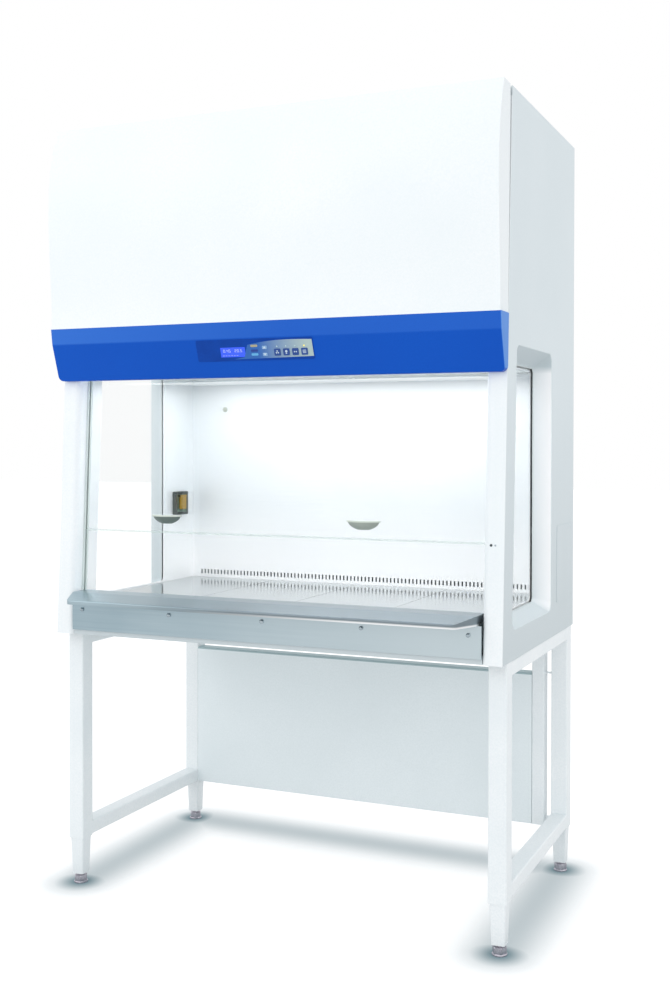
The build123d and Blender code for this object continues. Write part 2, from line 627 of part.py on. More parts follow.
def drain_valve():
    """Ball valve under the drain pan: outlet pipe, hexagon ends, body and spindle."""
    pipe = rod_z(VALVE_X, VALVE_Y, 690, PAN_LOW_Z, VALVE_PIPE)
    body = Pos(VALVE_X, VALVE_Y, VALVE_Z) * Sphere(16)
    collars = [extrude(Pos(VALVE_X, VALVE_Y, z) * RegularPolygon(15, 6), amount=9) for z in (695, 729)]
    neck = Pos(VALVE_X, VALVE_Y - 12, VALVE_Z) * Rot(90, 0, 0) * Cylinder(6, 12)
    spindle = Pos(VALVE_X, VALVE_Y - 21, VALVE_Z) * Rot(90, 0, 0) * Cylinder(3, 12)
    valve = pipe + body + collars + neck + spindle
    return valve - rod_z(VALVE_X, VALVE_Y, 688, PAN_LOW_Z + 1, VALVE_PIPE - 3)


def drain_lever():
    """Quarter-turn lever on the valve's spindle, closed when it lies across the pipe."""
    hub = Pos(VALVE_X, LEVER_Y - 2.5, VALVE_Z) * Rot(90, 0, 0) * Cylinder(8, 5)
    arm = block(VALVE_X, VALVE_X + 62, LEVER_Y - 5, LEVER_Y, VALVE_Z - 6, VALVE_Z + 6)
    arm = fillet(arm.edges().filter_by(Axis.Y).sort_by(Axis.X)[-2:], 5)
    hole = Pos(VALVE_X, LEVER_Y - 2.5, VALVE_Z) * Rot(90, 0, 0) * Cylinder(3 + FIT, 12)
    return hub + arm - hole


def flap_rod(y0, y1, radius):
    """A round bar along Y on the flap's hinge line."""
    return Pos(FLAP_X, (y0 + y1) / 2, FLAP_Z) * Rot(90, 0, 0) * Cylinder(radius, y1 - y0)


def outlet_box():
    """Splash-proof socket box on the left wall, with a recessed round socket."""
    box = block(-CHAMBER_HALF, OUTLET_FACE, OUTLET_Y0, OUTLET_Y1, OUTLET_Z0, OUTLET_Z1)
    box = fillet(box.edges().filter_by(Axis.X), 5)
    y, z = (OUTLET_Y0 + OUTLET_Y1) / 2, (OUTLET_Z0 + OUTLET_Z1) / 2
    box -= block(OUTLET_FACE - 7, OUTLET_FACE + 1, OUTLET_Y0 + 9, OUTLET_Y1 - 9,
                 OUTLET_Z0 + 9, OUTLET_Z1 - 9)
    box += rod_x(-CHAMBER_HALF + 1, OUTLET_FACE - 4, y, z, SOCKET_RADIUS + 3)
    box -= rod_x(OUTLET_FACE - 10, OUTLET_FACE, y, z, SOCKET_RADIUS)
    ends = (y - FLAP_HALF - 3, y + FLAP_HALF + 3)
    ears = [block(OUTLET_FACE - 8, OUTLET_FACE + 6, end - FLAP_EAR / 2, end + FLAP_EAR / 2,
                  FLAP_Z - 4, FLAP_Z + 3) for end in ends]
    return box + ears + flap_rod(*ends, FLAP_ROD)


def outlet_flap():
    """Spring flap over the socket, turning on the rod at its top edge."""
    y, z = (OUTLET_Y0 + OUTLET_Y1) / 2, (OUTLET_Z0 + OUTLET_Z1) / 2
    y0, y1 = y - FLAP_HALF, y + FLAP_HALF
    low = z - SOCKET_RADIUS - 4
    plate = block(OUTLET_FACE + 1, OUTLET_FACE + 4.5, y0, y1, low, FLAP_Z)
    plate = fillet(plate.edges().filter_by(Axis.X).group_by(Axis.Z)[0], 4)
    grip = block(OUTLET_FACE + 4, OUTLET_FACE + 8, y0 + 8, y1 - 8, low + 1, low + 5)
    return plate + flap_rod(y0, y1, 2 * FLAP_ROD) + grip - flap_rod(y0 - 1, y1 + 1, FLAP_ROD + FIT)


# ---------------------------------------------------------------- hood


def hood_profile(x, inset):
    """Side outline of the hood door: a bowed front that curls back at the top."""
    low, high = HOOD_LOW_Z + inset, TOP_Z - inset
    back = -0.6 if inset == 0 else 8
    roof_back = HINGE_Y - 7 + back + 0.6
    start, end = (x, HOOD_FRONT_LOW + inset, low), (x, HOOD_CREST_Y + inset, high)
    front = Spline([start, *[(x, y + inset, z) for y, z in HOOD_BOW], end])
    roof = Line(end, (x, roof_back, high))
    rear = Polyline((x, roof_back, high), (x, roof_back, 2150), (x, slope_y(low) + back, low), start)
    return make_face(front + roof + rear)


def hood_door():
    """Hinged hood door: a bowed steel pan with closed sides and its hinge barrels."""
    outer = extrude(hood_profile(-HOOD_HALF, 0), amount=2 * HOOD_HALF, dir=(1, 0, 0))
    inner = extrude(hood_profile(-HOOD_HALF + HOOD_SHEET, HOOD_SHEET),
                    amount=2 * (HOOD_HALF - HOOD_SHEET), dir=(1, 0, 0))
    door = outer - inner
    for x in DOOR_BARRELS:
        x0, x1 = x - BARREL / 2 + GAP, x + BARREL / 2 - GAP
        door += rod_x(x0, x1, HINGE_Y, HINGE_Z, BARREL_RADIUS)
        door += block(x0, x1, HINGE_Y - 9, HINGE_Y, HINGE_Z + 1.8, HINGE_Z + 3.8)
    return door - rod_x(-HALF_WIDTH, HALF_WIDTH, HINGE_Y, HINGE_Z, PIN_RADIUS + 0.08)


def hood_hinge():
    """Body side of the hood hinge: a leaf on the roof's front edge, barrels and the pin."""
    hinge = rod_x(-HINGE_HALF, HINGE_HALF, HINGE_Y, HINGE_Z, PIN_RADIUS)
    for x in DOOR_BARRELS:
        for side in (-1, 1):
            x0, x1 = x + side * BARREL - BARREL / 2 + GAP, x + side * BARREL + BARREL / 2 - GAP
            hinge += rod_x(x0, x1, HINGE_Y, HINGE_Z, BARREL_RADIUS)
            hinge += block(x0, x1, HINGE_Y, HINGE_Y + 16, HINGE_Z - 4.4, HINGE_Z - 2.2)
    return hinge + block(-HINGE_HALF, HINGE_HALF, HINGE_Y + 13.8, HINGE_Y + 16, HINGE_Z - 20, HINGE_Z - 2.2)


def on_band(sketch, offset=0.0):
    """Place a sketch, drawn from the fold line, on the sloped band of the fascia."""
    return BAND_PLANE.offset(offset).location * sketch


def key_sections(clear):
    """Plan outlines of the six keys, with a clearance for the holes they sit in."""
    size = KEY_SIZE + 2 * clear
    squares = [Pos(x, KEY_Y) * RectangleRounded(size, size, 2.5) for x in KEY_X]
    width, height = ARROW_SIZE[0] + 2 * clear, ARROW_SIZE[1] + 2 * clear
    arrows = [Pos(ARROW_X, y) * RectangleRounded(width, height, 2.5) for y in ARROW_Y]
    return squares + arrows


def fascia():
    """Blue moulded fascia: an upright band above, a band that slopes back below, open behind."""
    def strip(low, high, front, back):
        points = [(slope_y(low) + front, low), (slope_y(low) + back, low),
                  (slope_y(high) + back, high), (slope_y(high) + front, high)]
        return side_outline(points, -FASCIA_HALF + FASCIA_WALL)
    points = [(HOOD_FRONT_LOW, HOOD_LOW_Z), (FOLD_Y, FOLD_Z), (FASCIA_LIP_Y, FASCIA_LOW_Z),
              (slope_y(FASCIA_LOW_Z) - 0.6, FASCIA_LOW_Z), (slope_y(HOOD_LOW_Z) - 0.6, HOOD_LOW_Z)]
    section = side_outline(points, -FASCIA_HALF)
    corners = section.vertices().filter_by(lambda v: v.Y < 20).sort_by(Axis.Z)
    section = fillet(corners[0], 5)
    hollow = Pos(FASCIA_WALL, 0, 0) * offset(section, -FASCIA_WALL)
    hollow += strip(FASCIA_LOW_Z + FASCIA_WALL, HOOD_LOW_Z - FASCIA_WALL, -8, 8)

    def front_view(inset):
        half, low, high = FASCIA_HALF - inset, FASCIA_LOW_Z + inset, HOOD_LOW_Z + 40
        outline = Pos(0, 60, (low + high) / 2) * Rot(90, 0, 0) * Rectangle(2 * half, high - low)
        corners = outline.vertices().group_by(Axis.Z)[0]
        return extrude(fillet(corners, FASCIA_CORNER - inset), amount=120, dir=(0, -1, 0))
    outer = extrude(section, amount=2 * FASCIA_HALF, dir=(1, 0, 0)) & front_view(0)
    inner = extrude(hollow, amount=2 * (FASCIA_HALF - FASCIA_WALL), dir=(1, 0, 0))
    above = block(-HALF_WIDTH, HALF_WIDTH, -60, 60, FASCIA_LOW_Z + FASCIA_CORNER, HOOD_LOW_Z)
    inner = (inner & front_view(FASCIA_WALL)) + (inner & above)
    holes = [extrude(on_band(section), amount=12, both=True) for section in key_sections(KEY_CLEAR)]
    display_hole = extrude(on_band(Pos(*DISPLAY_CENTRE) * Rectangle(*DISPLAY_SIZE)), amount=12, both=True)
    return outer - inner - holes - display_hole


def control_panel():
    """Overlay plate on the fascia, with holes for the keys and the display."""
    width, height = PANEL_X1 - PANEL_X0, PANEL_Y1 - PANEL_Y0
    centre = ((PANEL_X0 + PANEL_X1) / 2, (PANEL_Y0 + PANEL_Y1) / 2)
    plate = extrude(on_band(Pos(*centre) * RectangleRounded(width, height, 4)), amount=PANEL_THICK)
    holes = [extrude(on_band(section), amount=12, both=True) for section in key_sections(KEY_CLEAR)]
    display_hole = extrude(on_band(Pos(*DISPLAY_CENTRE) * Rectangle(*DISPLAY_SIZE)), amount=12, both=True)
    return plate - holes - display_hole


def display():
    """Liquid-crystal display module behind its window."""
    width, height = DISPLAY_SIZE[0] - 0.4, DISPLAY_SIZE[1] - 0.4
    window = extrude(on_band(Pos(*DISPLAY_CENTRE) * Rectangle(width, height), 0.6), amount=-6)
    back = Pos(*DISPLAY_CENTRE) * Rectangle(width + 12, height + 10)
    return window + extrude(on_band(back, -FASCIA_WALL), amount=-2.4)


def key(section):
    """A key cap with a wider foot that keeps it behind the fascia."""
    cap = extrude(on_band(section, -4.5), amount=7)
    box = section.bounding_box()
    centre = box.center()
    foot = Pos(centre.X, centre.Y) * Rectangle(box.size.X + 3, box.size.Y + 3)
    return cap + extrude(on_band(foot, -FASCIA_WALL - 0.6), amount=-2)


# ---------------------------------------------------------------- sash


def sash_glass():
    """Safety glass sash that leans with the front."""
    return sloped_box(-SASH_HALF, SASH_HALF, SASH_FRONT, SASH_FRONT + SASH_GLASS, SASH_LOW_Z, SASH_HIGH_Z)


def sash_grip(x):
    """Scoop grip: a ledge, curved in plan, whose underside sweeps back to the glass."""
    y = slope_y(GRIP_TOP_Z) + SASH_FRONT + 1

    def plan(share, drop):
        half = GRIP_HALF * share
        arc = ThreePointArc((half, 0), (0, -GRIP_REACH * share), (-half, 0))
        return Pos(x, y, GRIP_TOP_Z - drop) * make_face(Line((-half, 0), (half, 0)) + arc)
    ledge = extrude(plan(1, GRIP_LEDGE), amount=GRIP_LEDGE)
    sections = ((0.92, 0), (0.84, 7), (0.66, 14), (0.36, 20))
    scoop = loft([plan(share, GRIP_LEDGE + drop) for share, drop in sections])
    return ledge + scoop - sash_glass()


def sash_carrier():
    """Right clamp on the sash's top corner, reaching out to the cable loop."""
    clamp = plan_box(SASH_HALF - 10, SASH_HALF + 8, SASH_FRONT - 5, SASH_FRONT + SASH_GLASS + 5)
    slot = plan_box(SASH_HALF - 11, SASH_HALF, SASH_FRONT, SASH_FRONT + SASH_GLASS)
    arm = plan_box(SASH_HALF + 8, LOOP_X + 8, LOOP_FRONT - 8, SASH_FRONT + SASH_GLASS + 5)
    bore = Pos(LOOP_X, LOOP_FRONT) * Circle(CABLE / 2 + 0.5)
    return sloped(clamp - slot + arm - bore, CARRIER_LOW_Z, SASH_HIGH_Z - 2)


def sash_guide():
    """Right guide channel for the sash's edge, with its back flange on the side wall."""
    outer = plan_box(GUIDE_X0, GUIDE_X1, COLUMN_RETURN, SASH_FRONT + SASH_GLASS + 7)
    groove = plan_box(GUIDE_X0 - 1, SASH_HALF + 2, SASH_FRONT - 1, SASH_FRONT + SASH_GLASS + 1)
    return sloped(outer - groove, 862, 1488)


def counterweight():
    """Right counterweight bar with a bore for the rear run of the loop."""
    outer = plan_box(LOOP_X - 28, LOOP_X + 16, WEIGHT_FRONT, WEIGHT_BACK)
    bore = Pos(LOOP_X, LOOP_FRONT + 2 * LOOP_RADIUS) * Circle(CABLE / 2 + 0.6)
    return sloped(outer - bore, WEIGHT_LOW_Z, WEIGHT_LOW_Z + WEIGHT_LENGTH)


def loop_point(z, across):
    """A point of the loop's plane: at a height on the slope, and across it."""
    y = slope_y(z) + LOOP_AXIS
    return (LOOP_X, y + across / SLOPE_LENGTH, z - across * FRONT_SLOPE / SLOPE_LENGTH)


def cable_loop():
    """Right cable loop: two straight runs and a half turn round each pulley."""
    radius = LOOP_RADIUS / SLOPE_LENGTH
    along = (FRONT_SLOPE / SLOPE_LENGTH, 1 / SLOPE_LENGTH)
    low_y, high_y = slope_y(LOOP_LOW_Z) + LOOP_AXIS, slope_y(LOOP_HIGH_Z) + LOOP_AXIS
    low_tip = (LOOP_X, low_y - along[0] * radius, LOOP_LOW_Z - along[1] * radius)
    high_tip = (LOOP_X, high_y + along[0] * radius, LOOP_HIGH_Z + along[1] * radius)
    corners = [loop_point(LOOP_LOW_Z, -radius), loop_point(LOOP_HIGH_Z, -radius),
               loop_point(LOOP_HIGH_Z, radius), loop_point(LOOP_LOW_Z, radius)]
    runs = [Line(corners[0], corners[1]), ThreePointArc(corners[1], high_tip, corners[2]),
            Line(corners[2], corners[3]), ThreePointArc(corners[3], low_tip, corners[0])]
    path = Wire([run.edge() for run in runs])
    section = Plane(origin=corners[0], z_dir=SLOPE_DIR) * Circle(CABLE / 2)
    return sweep(section, path=path)


def pulley(y, z, bore):
    """Grooved cable pulley."""
    root = LOOP_RADIUS - 1.6
    half = [(0, -6), (PULLEY_RADIUS, -6), (PULLEY_RADIUS, -4), (root, -1.6), (root, 1.6),
            (PULLEY_RADIUS, 4), (PULLEY_RADIUS, 6), (0, 6)]
    section = make_face(Polyline([(r, 0, w) for r, w in half], close=True))
    wheel = revolve(section, Axis.Z)
    wheel = Pos(LOOP_X, y, z) * Rot(0, 90, 0) * wheel
    return wheel - rod_x(LOOP_X - 8, LOOP_X + 8, y, z, bore)


def pulley_shaft():
    """Upper pulleys on one cross shaft, which keeps both sides of the sash level."""
    y, z = slope_y(LOOP_HIGH_Z) + LOOP_AXIS, LOOP_HIGH_Z
    reach = HALF_WIDTH - SKIN - 2
    wheel = pulley(y, z, SHAFT_RADIUS - 0.5)
    return rod_x(-reach, reach, y, z, SHAFT_RADIUS) + wheel + mirrored(wheel)


def lower_pulleys():
    """Lower pulleys, which turn on stub axles of the side panels."""
    wheel = pulley(slope_y(LOOP_LOW_Z) + LOOP_AXIS, LOOP_LOW_Z, AXLE_RADIUS + FIT)
    return [wheel, mirrored(wheel)]


# ---------------------------------------------------------------- air system


def pleated_filter(x0, x1, y0, y1, z0, z1, pleats):
    """Filter frame round a pleated pack."""
    frame = block(x0, x1, y0, y1, z0, z1) - block(x0 + 20, x1 - 20, y0 + 20, y1 - 20, z0 - 1, z1 + 1)
    pitch = (x1 - x0 - 40) / pleats
    low, high = z0 + 10, z1 - 10
    tops = []
    for i in range(pleats):
        start = x0 + 20 + i * pitch
        tops += [(start, low), (start + pitch / 2, high - 12)]
    tops.append((x1 - 20, low))
    lower = [(x, y0 + 19.5, z) for x, z in tops]
    upper = [(x, y0 + 19.5, z + 12) for x, z in reversed(tops)]
    pack = extrude(make_face(Polyline(lower + upper, close=True)), amount=y1 - y0 - 39, dir=(0, 1, 0))
    return frame + pack


def supply_filter():
    """Downflow filter above the work zone."""
    return pleated_filter(-FILTER_X, FILTER_X, FILTER_Y0, FILTER_Y1, FILTER_LOW_Z, FILTER_HIGH_Z, 20)


def exhaust_filter():
    """Exhaust filter below the roof opening."""
    return pleated_filter(EXHAUST_X0 - 30, EXHAUST_X1 + 30, EXHAUST_Y0 - 30, EXHAUST_Y1 + 30,
                          EXHAUST_LOW_Z, TOP_Z - SKIN - 2, 10)


def pressure_plenum():
    """Sheet box over the supply filter, with a riser to the exhaust filter and side flanges."""
    x, y0, y1 = FILTER_X, FILTER_Y0, FILTER_Y1
    side = HALF_WIDTH - SKIN
    box = block(-x, x, y0, y1, FILTER_HIGH_Z, PLENUM_HIGH_Z)
    box -= block(-x + 2, x - 2, y0 + 2, y1 - 2, FILTER_HIGH_Z - 1, PLENUM_HIGH_Z - 2)
    riser = block(EXHAUST_X0 - 22, EXHAUST_X1 + 22, EXHAUST_Y0 - 22, EXHAUST_Y1 + 22,
                  PLENUM_HIGH_Z, EXHAUST_LOW_Z)
    inner = block(EXHAUST_X0 - 20, EXHAUST_X1 + 20, EXHAUST_Y0 - 20, EXHAUST_Y1 + 20,
                  PLENUM_HIGH_Z - 3, EXHAUST_LOW_Z + 1)
    inlet = block(BLOWER_X0 + 3, BLOWER_X1 - 3, BLOWER_Y + 23, BLOWER_Y + SCROLL_RADIUS - 3,
                  PLENUM_HIGH_Z - 5, PLENUM_HIGH_Z + 5)
    hangers = block(-side, side, y1 - 2, y1, PLENUM_HIGH_Z - 2, PLENUM_HIGH_Z + 28)
    sills = [block(low, high, y0 + 30, y1, FILTER_HIGH_Z, FILTER_HIGH_Z + 3)
             for low, high in ((-side, -x), (x, side))]
    return box + riser + hangers + sills - inner - inlet


def blower_housing():
    """Scroll casing with a round inlet on each side and a rectangular outlet down into the plenum."""
    y, z = BLOWER_Y, BLOWER_Z

    def scroll(inset, low):
        x0, x1 = BLOWER_X0 + inset, BLOWER_X1 - inset
        drum = rod_x(x0, x1, y, z, SCROLL_RADIUS - inset)
        return drum + block(x0, x1, y + 20 + inset, y + SCROLL_RADIUS - inset, low, z)
    casing = scroll(0, PLENUM_HIGH_Z) - scroll(3, PLENUM_HIGH_Z - 1)
    casing -= rod_x(BLOWER_X0 - 5, BLOWER_X1 + 5, y, z, IMPELLER_RADIUS - 14)
    stand = block(BLOWER_X0, BLOWER_X1, y - 90, y - 60, PLENUM_HIGH_Z, z - SCROLL_RADIUS + 24)
    stand -= block(BLOWER_X0 + 3, BLOWER_X1 - 3, y - 91, y - 63, PLENUM_HIGH_Z + 3, z)
    return casing + stand


def blower_impeller():
    """Double-inlet fan wheel: centre disc, end rings and forward-curved blades."""
    width = BLOWER_X1 - BLOWER_X0 - 30
    radius = IMPELLER_RADIUS
    disc = Cylinder(radius, 4)
    hub = Cylinder(22, 60)
    ring = Cylinder(radius, 6) - Cylinder(radius - 16, 8)
    rings = [Pos(0, 0, side * (width / 2 - 3)) * ring for side in (-1, 1)]
    arc = ThreePointArc((radius - 18, 0), (radius - 7, -3), (radius - 1, -12))
    outer = ThreePointArc((radius - 18, 2), (radius - 6, -1.2), (radius + 0.6, -11))
    blade_face = make_face(arc + Line(arc @ 1, outer @ 1) + outer + Line(outer @ 0, arc @ 0))
    blade = extrude(blade_face, amount=width / 2 - 3, both=True)
    blades = [Rot(0, 0, i * 360 / BLADES) * blade for i in range(BLADES)]
    wheel = disc + hub + rings + blades - Cylinder(MOTOR_SHAFT + FIT, 70)
    return Pos((BLOWER_X0 + BLOWER_X1) / 2, BLOWER_Y, BLOWER_Z) * Rot(0, 90, 0) * wheel


def blower_motor():
    """Motor beside the scroll, with its shaft through the wheel and a foot on the plenum."""
    y, z = BLOWER_Y, BLOWER_Z
    x0, x1 = BLOWER_X1 + 20, BLOWER_X1 + 20 + MOTOR_LENGTH
    shaft = rod_x(BLOWER_X0 + 40, BLOWER_X1 + 40, y, z, MOTOR_SHAFT)
    body = rod_x(x0, x1, y, z, MOTOR_RADIUS)
    cap = rod_x(x1, x1 + 10, y, z, MOTOR_CAP)
    foot = block(x0 + 10, x1 - 10, y - 40, y + 10, PLENUM_HIGH_Z, z - 55)
    foot -= block(x0 + 13, x1 - 13, y - 41, y + 7, PLENUM_HIGH_Z + 3, z - 50)
    return shaft + body + cap + foot


def work_lamp():
    """Straight fluorescent tube, and the two holders on the columns' inner faces."""
    y = slope_y(LAMP_TUBE_Z) + LAMP_TUBE_Y
    end = LAMP_HALF + LAMP_CAP
    tube = rod_x(-LAMP_HALF, LAMP_HALF, y, LAMP_TUBE_Z, LAMP_RADIUS)
    tube += rod_x(-end, end, y, LAMP_TUBE_Z, LAMP_RADIUS - 2)
    holder = block(end, COLUMN_X, y - 14, y + 12, LAMP_TUBE_Z - 20, LAMP_TUBE_Z + 20)
    return [tube, holder, mirrored(holder)]


# ---------------------------------------------------------------- write every piece

def main():
    os.makedirs("parts", exist_ok=True)
    pairs = {"stand_side_frame": stand_side_frame, "side_panel": side_panel, "front_column": front_column,
             "side_liner": side_liner}
    for name, build in pairs.items():
        right = build()
        export_piece(f"{name}_right", right)
        export_piece(f"{name}_left", mirrored(right))
    singles = [stand_rear_frame, modesty_panel, back_panel, top_panel, cabinet_base, service_cover, back_wall,
               drain_pan, front_grille, armrest, ceiling_diffuser, drain_valve, drain_lever, outlet_box,
               outlet_flap, hood_door, hood_hinge, fascia, control_panel, display, sash_glass, pulley_shaft,
               supply_filter, exhaust_filter, pressure_plenum, blower_housing, blower_impeller, blower_motor]
    for build in singles:
        export_piece(build.__name__, build())
    for build in (apron_knobs, lower_pulleys, work_lamp):
        export_piece(build.__name__, *build())
    twins = {"side_windows": side_window, "sash_carriers": sash_carrier, "sash_guides": sash_guide,
             "counterweights": counterweight, "cable_loops": cable_loop}
    for name, build in twins.items():
        right = build()
        export_piece(name, right, mirrored(right))
    export_piece("sash_grips", *[sash_grip(x) for x in GRIP_CENTRES])
    corners = {"front_left": (-LEG_X, LEG_FRONT_Y), "front_right": (LEG_X, LEG_FRONT_Y),
               "rear_left": (-LEG_X, LEG_BACK_Y), "rear_right": (LEG_X, LEG_BACK_Y)}
    export_piece("leg_sleeves", *[leg_sleeve(x, y) for x, y in corners.values()])
    for name, (x, y) in corners.items():
        export_piece(f"foot_{name}", levelling_foot(x, y))
    for index in range(TRAY_COUNT):
        export_piece(f"work_tray_{index + 1}", work_tray(index))
    key_names = ["fan_key", "lamp_key", "socket_key", "menu_key", "up_key", "down_key"]
    for name, section in zip(key_names, key_sections(0)):
        export_piece(name, key(section))


main()
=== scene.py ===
import math

import bpy
from mathutils import Matrix, Vector


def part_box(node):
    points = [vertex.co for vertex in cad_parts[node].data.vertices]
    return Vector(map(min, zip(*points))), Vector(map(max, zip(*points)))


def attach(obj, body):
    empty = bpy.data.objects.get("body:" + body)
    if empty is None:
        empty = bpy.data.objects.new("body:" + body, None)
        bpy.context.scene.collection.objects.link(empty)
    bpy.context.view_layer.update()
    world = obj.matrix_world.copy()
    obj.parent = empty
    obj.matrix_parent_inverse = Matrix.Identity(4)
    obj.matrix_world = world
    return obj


bl_info = {
    "name": "Biosafety Cabinet",
    "version": (1, 0, 0),
    "blender": (4, 5, 0),
    "location": "3D View > Sidebar > Cabinet",
    "description": "Finishes and small fittings for a sloped-front biosafety cabinet on its stand",
    "category": "Object",
}

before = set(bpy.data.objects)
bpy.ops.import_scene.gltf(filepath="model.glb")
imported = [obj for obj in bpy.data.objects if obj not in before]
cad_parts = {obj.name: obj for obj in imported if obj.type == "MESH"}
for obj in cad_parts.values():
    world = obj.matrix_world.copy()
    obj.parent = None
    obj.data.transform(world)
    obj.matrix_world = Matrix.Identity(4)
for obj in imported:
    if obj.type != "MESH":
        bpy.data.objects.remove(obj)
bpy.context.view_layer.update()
MM = 0.001

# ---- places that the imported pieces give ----
SASH_LOW, SASH_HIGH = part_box("sash_glass")
BACK_LOW, BACK_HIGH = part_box("back_panel")
WALL_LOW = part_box("back_wall")[0]
COLUMN_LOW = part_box("front_column_right")[0]

# ---- slopes of the front, in metres ----
FRONT_SLOPE = 0.05
CABINET_BASE_Z = 0.745
FOLD = Vector((0, -0.352, 1.577))
BAND_UP = Vector((0, -0.296688, 0.954963))
BAND_OUT = Vector((0, -0.954963, -0.296688))

# ---- control panel, in millimetres across and up from the fascia's fold ----
FILM_FACE = 1.0
FILM_THICK = 0.25
MARK_THICK = 0.45
KEY_TOP = 2.5
KEY_MARK_THICK = 0.3
KEY_X = (51.0, 77.7, 104.4, 131.1)
KEY_Y = -41.0
KEY_LAMP_Y = -25.5
FIELD_LEFT, FIELD_RIGHT = -48, 155
DIGIT_SIZE = 1.05
DIGIT_PITCH = 7.2
DIGIT_THICK = 0.15

# ---- small fittings, in metres ----
SEAL_X = 0.6193
SEAL_LOW, SEAL_HIGH, SEAL_BACK = 0.8465, 1.5085, 0.1325
SEAL_BEHIND_COLUMN = 0.0945
SEAL_CORNER = 0.013
SEAL_RADIUS = 0.0014
LOCK_X, PLUG_X, LOCK_Z = 0.636, 0.647, 1.043
COLUMN_SEAT = 0.0008
SENSOR_X, SENSOR_Z = -0.485, 1.408
SENSOR_SEAT = 0.0004
EDGE_MARGIN, EDGE_ROUND = 0.004, 0.0008
THREAD_TURNS, THREAD_STEPS = 2, 12
THREAD_PITCH, THREAD_RADIUS, THREAD_WIRE = 0.00175, 0.0062, 0.0006
THREAD_LOW_Z = 0.0232
SCREW_ROWS = 7
SCREW_FROM_SIDE, SCREW_FROM_END, SCREW_SINK = 0.012, 0.03, 0.0026

# ---- studio: lengths in metres, and levels ----
FOOT_SHADE_REACH, FOOT_SHADE_DEPTH = 0.16, 0.9
BAND_SHADE_REACH, BAND_SHADE_DEPTH = 0.22, 0.52
SHADE_PEAK = 1.7
SHADE_TINT = "#2C616E"
FLOOR_SIZE = 60
FLOOR_DIMMING = 0.55
FLOOR_GLOW, FLOOR_GLOW_SEEN = 0.3, 0.62
# A direction's range along one axis, and the room's level at its two ends.
ROOM_BY_HEIGHT = (-0.2, 1.0, 0.96, 1.1)
ROOM_BY_DEPTH = (-1.0, 0.4, 0.17, -0.1)
KEY_LIGHT_PLACE, KEY_LIGHT_TARGET, KEY_LIGHT_SIZE = (-2.6, -4.2, 3.2), (0.1, -0.2, 1.3), 3.0
CHAMBER_PLACE, CHAMBER_TARGET, CHAMBER_SIZE = (0, 0.02, 1.48), (0, 0.05, 0.8), (1.1, 0.4)
CAMERA_SHIFT = (-0.0475, -0.0429)
CAMERA_CLIP = 200
FRAME_HEIGHT = 36


def slope_y(z):
    """Depth of the columns' front face at a height."""
    return COLUMN_LOW.y + FRONT_SLOPE * (z - CABINET_BASE_Z)


def band_matrix(offset):
    """Matrix that lays a flat drawing on the fascia's sloped band, offset outwards."""
    matrix = Matrix.Identity(4)
    for row in range(3):
        matrix[row][0] = (1, 0, 0)[row]
        matrix[row][1] = BAND_UP[row]
        matrix[row][2] = BAND_OUT[row]
        matrix[row][3] = (FOLD + BAND_OUT * offset)[row]
    return matrix


# ---------------------------------------------------------------- materials

FINISHES = {}
DARK_END, LIGHT_END = 0.12, 0.42
GLOSS_SWING = 0.15
GRAIN_HEIGHT = 0.0006
FILM_GRAIN_HEIGHT = 0.0002
GLASS_ROUGHNESS = (0.01, 0.03)


def linear(code):
    """Linear RGBA from an sRGB hex colour."""
    parts = [int(code[i:i + 2], 16) / 255 for i in (1, 3, 5)]
    return [c / 12.92 if c <= 0.04045 else ((c + 0.055) / 1.055) ** 2.4 for c in parts] + [1.0]


def add_node(tree, kind, inputs=None, settings=None):
    """Add a node, with its settings, socket values and links."""
    node = tree.nodes.new(kind)
    for name, value in (settings or {}).items():
        setattr(node, name, value)
    for name, value in (inputs or {}).items():
        if isinstance(value, bpy.types.NodeSocket):
            tree.links.new(value, node.inputs[name])
        else:
            node.inputs[name].default_value = value
    return node


def new_material(name):
    """The empty node tree of a new finish, kept under its name."""
    material = bpy.data.materials.new(name)
    material.use_nodes = True
    material.node_tree.nodes.clear()
    FINISHES[name] = material
    return material.node_tree


def object_place(tree):
    """Coordinates that stay with the piece."""
    return add_node(tree, "ShaderNodeTexCoord").outputs["Object"]


def noise(tree, place, scale, detail):
    """Soft noise between 0 and 1."""
    texture = add_node(tree, "ShaderNodeTexNoise", {"Vector": place, "Scale": scale, "Detail": detail})
    return texture.outputs["Fac"]


def remapped(tree, value, start, end, low, high, **settings):
    """A value carried from the range start to end into the range low to high."""
    ranges = {"Value": value, "From Min": start, "From Max": end, "To Min": low, "To Max": high}
    return add_node(tree, "ShaderNodeMapRange", ranges, settings).outputs["Result"]


def worked_out(tree, operation, first, second):
    """One sum on two numbers."""
    return add_node(tree, "ShaderNodeMath", {0: first, 1: second}, {"operation": operation}).outputs[0]


def vector_step(tree, operation, *vectors):
    """One step on vectors: it gives a number for a length or a distance, and else a vector."""
    node = add_node(tree, "ShaderNodeVectorMath", dict(enumerate(vectors)), {"operation": operation})
    return node.outputs["Value" if operation in ("LENGTH", "DISTANCE") else "Vector"]


def blended(tree, share, first, second):
    """Two colours mixed by a share."""
    mix = add_node(tree, "ShaderNodeMix", {"Factor": share, "A": first, "B": second}, {"data_type": "RGBA"})
    return mix.outputs["Result"]


def two_tints(tree, share, first, second, start=0.0, end=1.0):
    """A ramp from one tint to another."""
    ramp = add_node(tree, "ShaderNodeValToRGB", {"Fac": share})
    for element, place, tint in zip(ramp.color_ramp.elements, (start, end), (first, second)):
        element.position = place
        element.color = linear(tint)
    return ramp.outputs["Color"]


def bumped(tree, height, strength, distance):
    """A normal that follows a height."""
    relief = add_node(tree, "ShaderNodeBump", {"Height": height, "Strength": strength, "Distance": distance})
    return relief.outputs["Normal"]


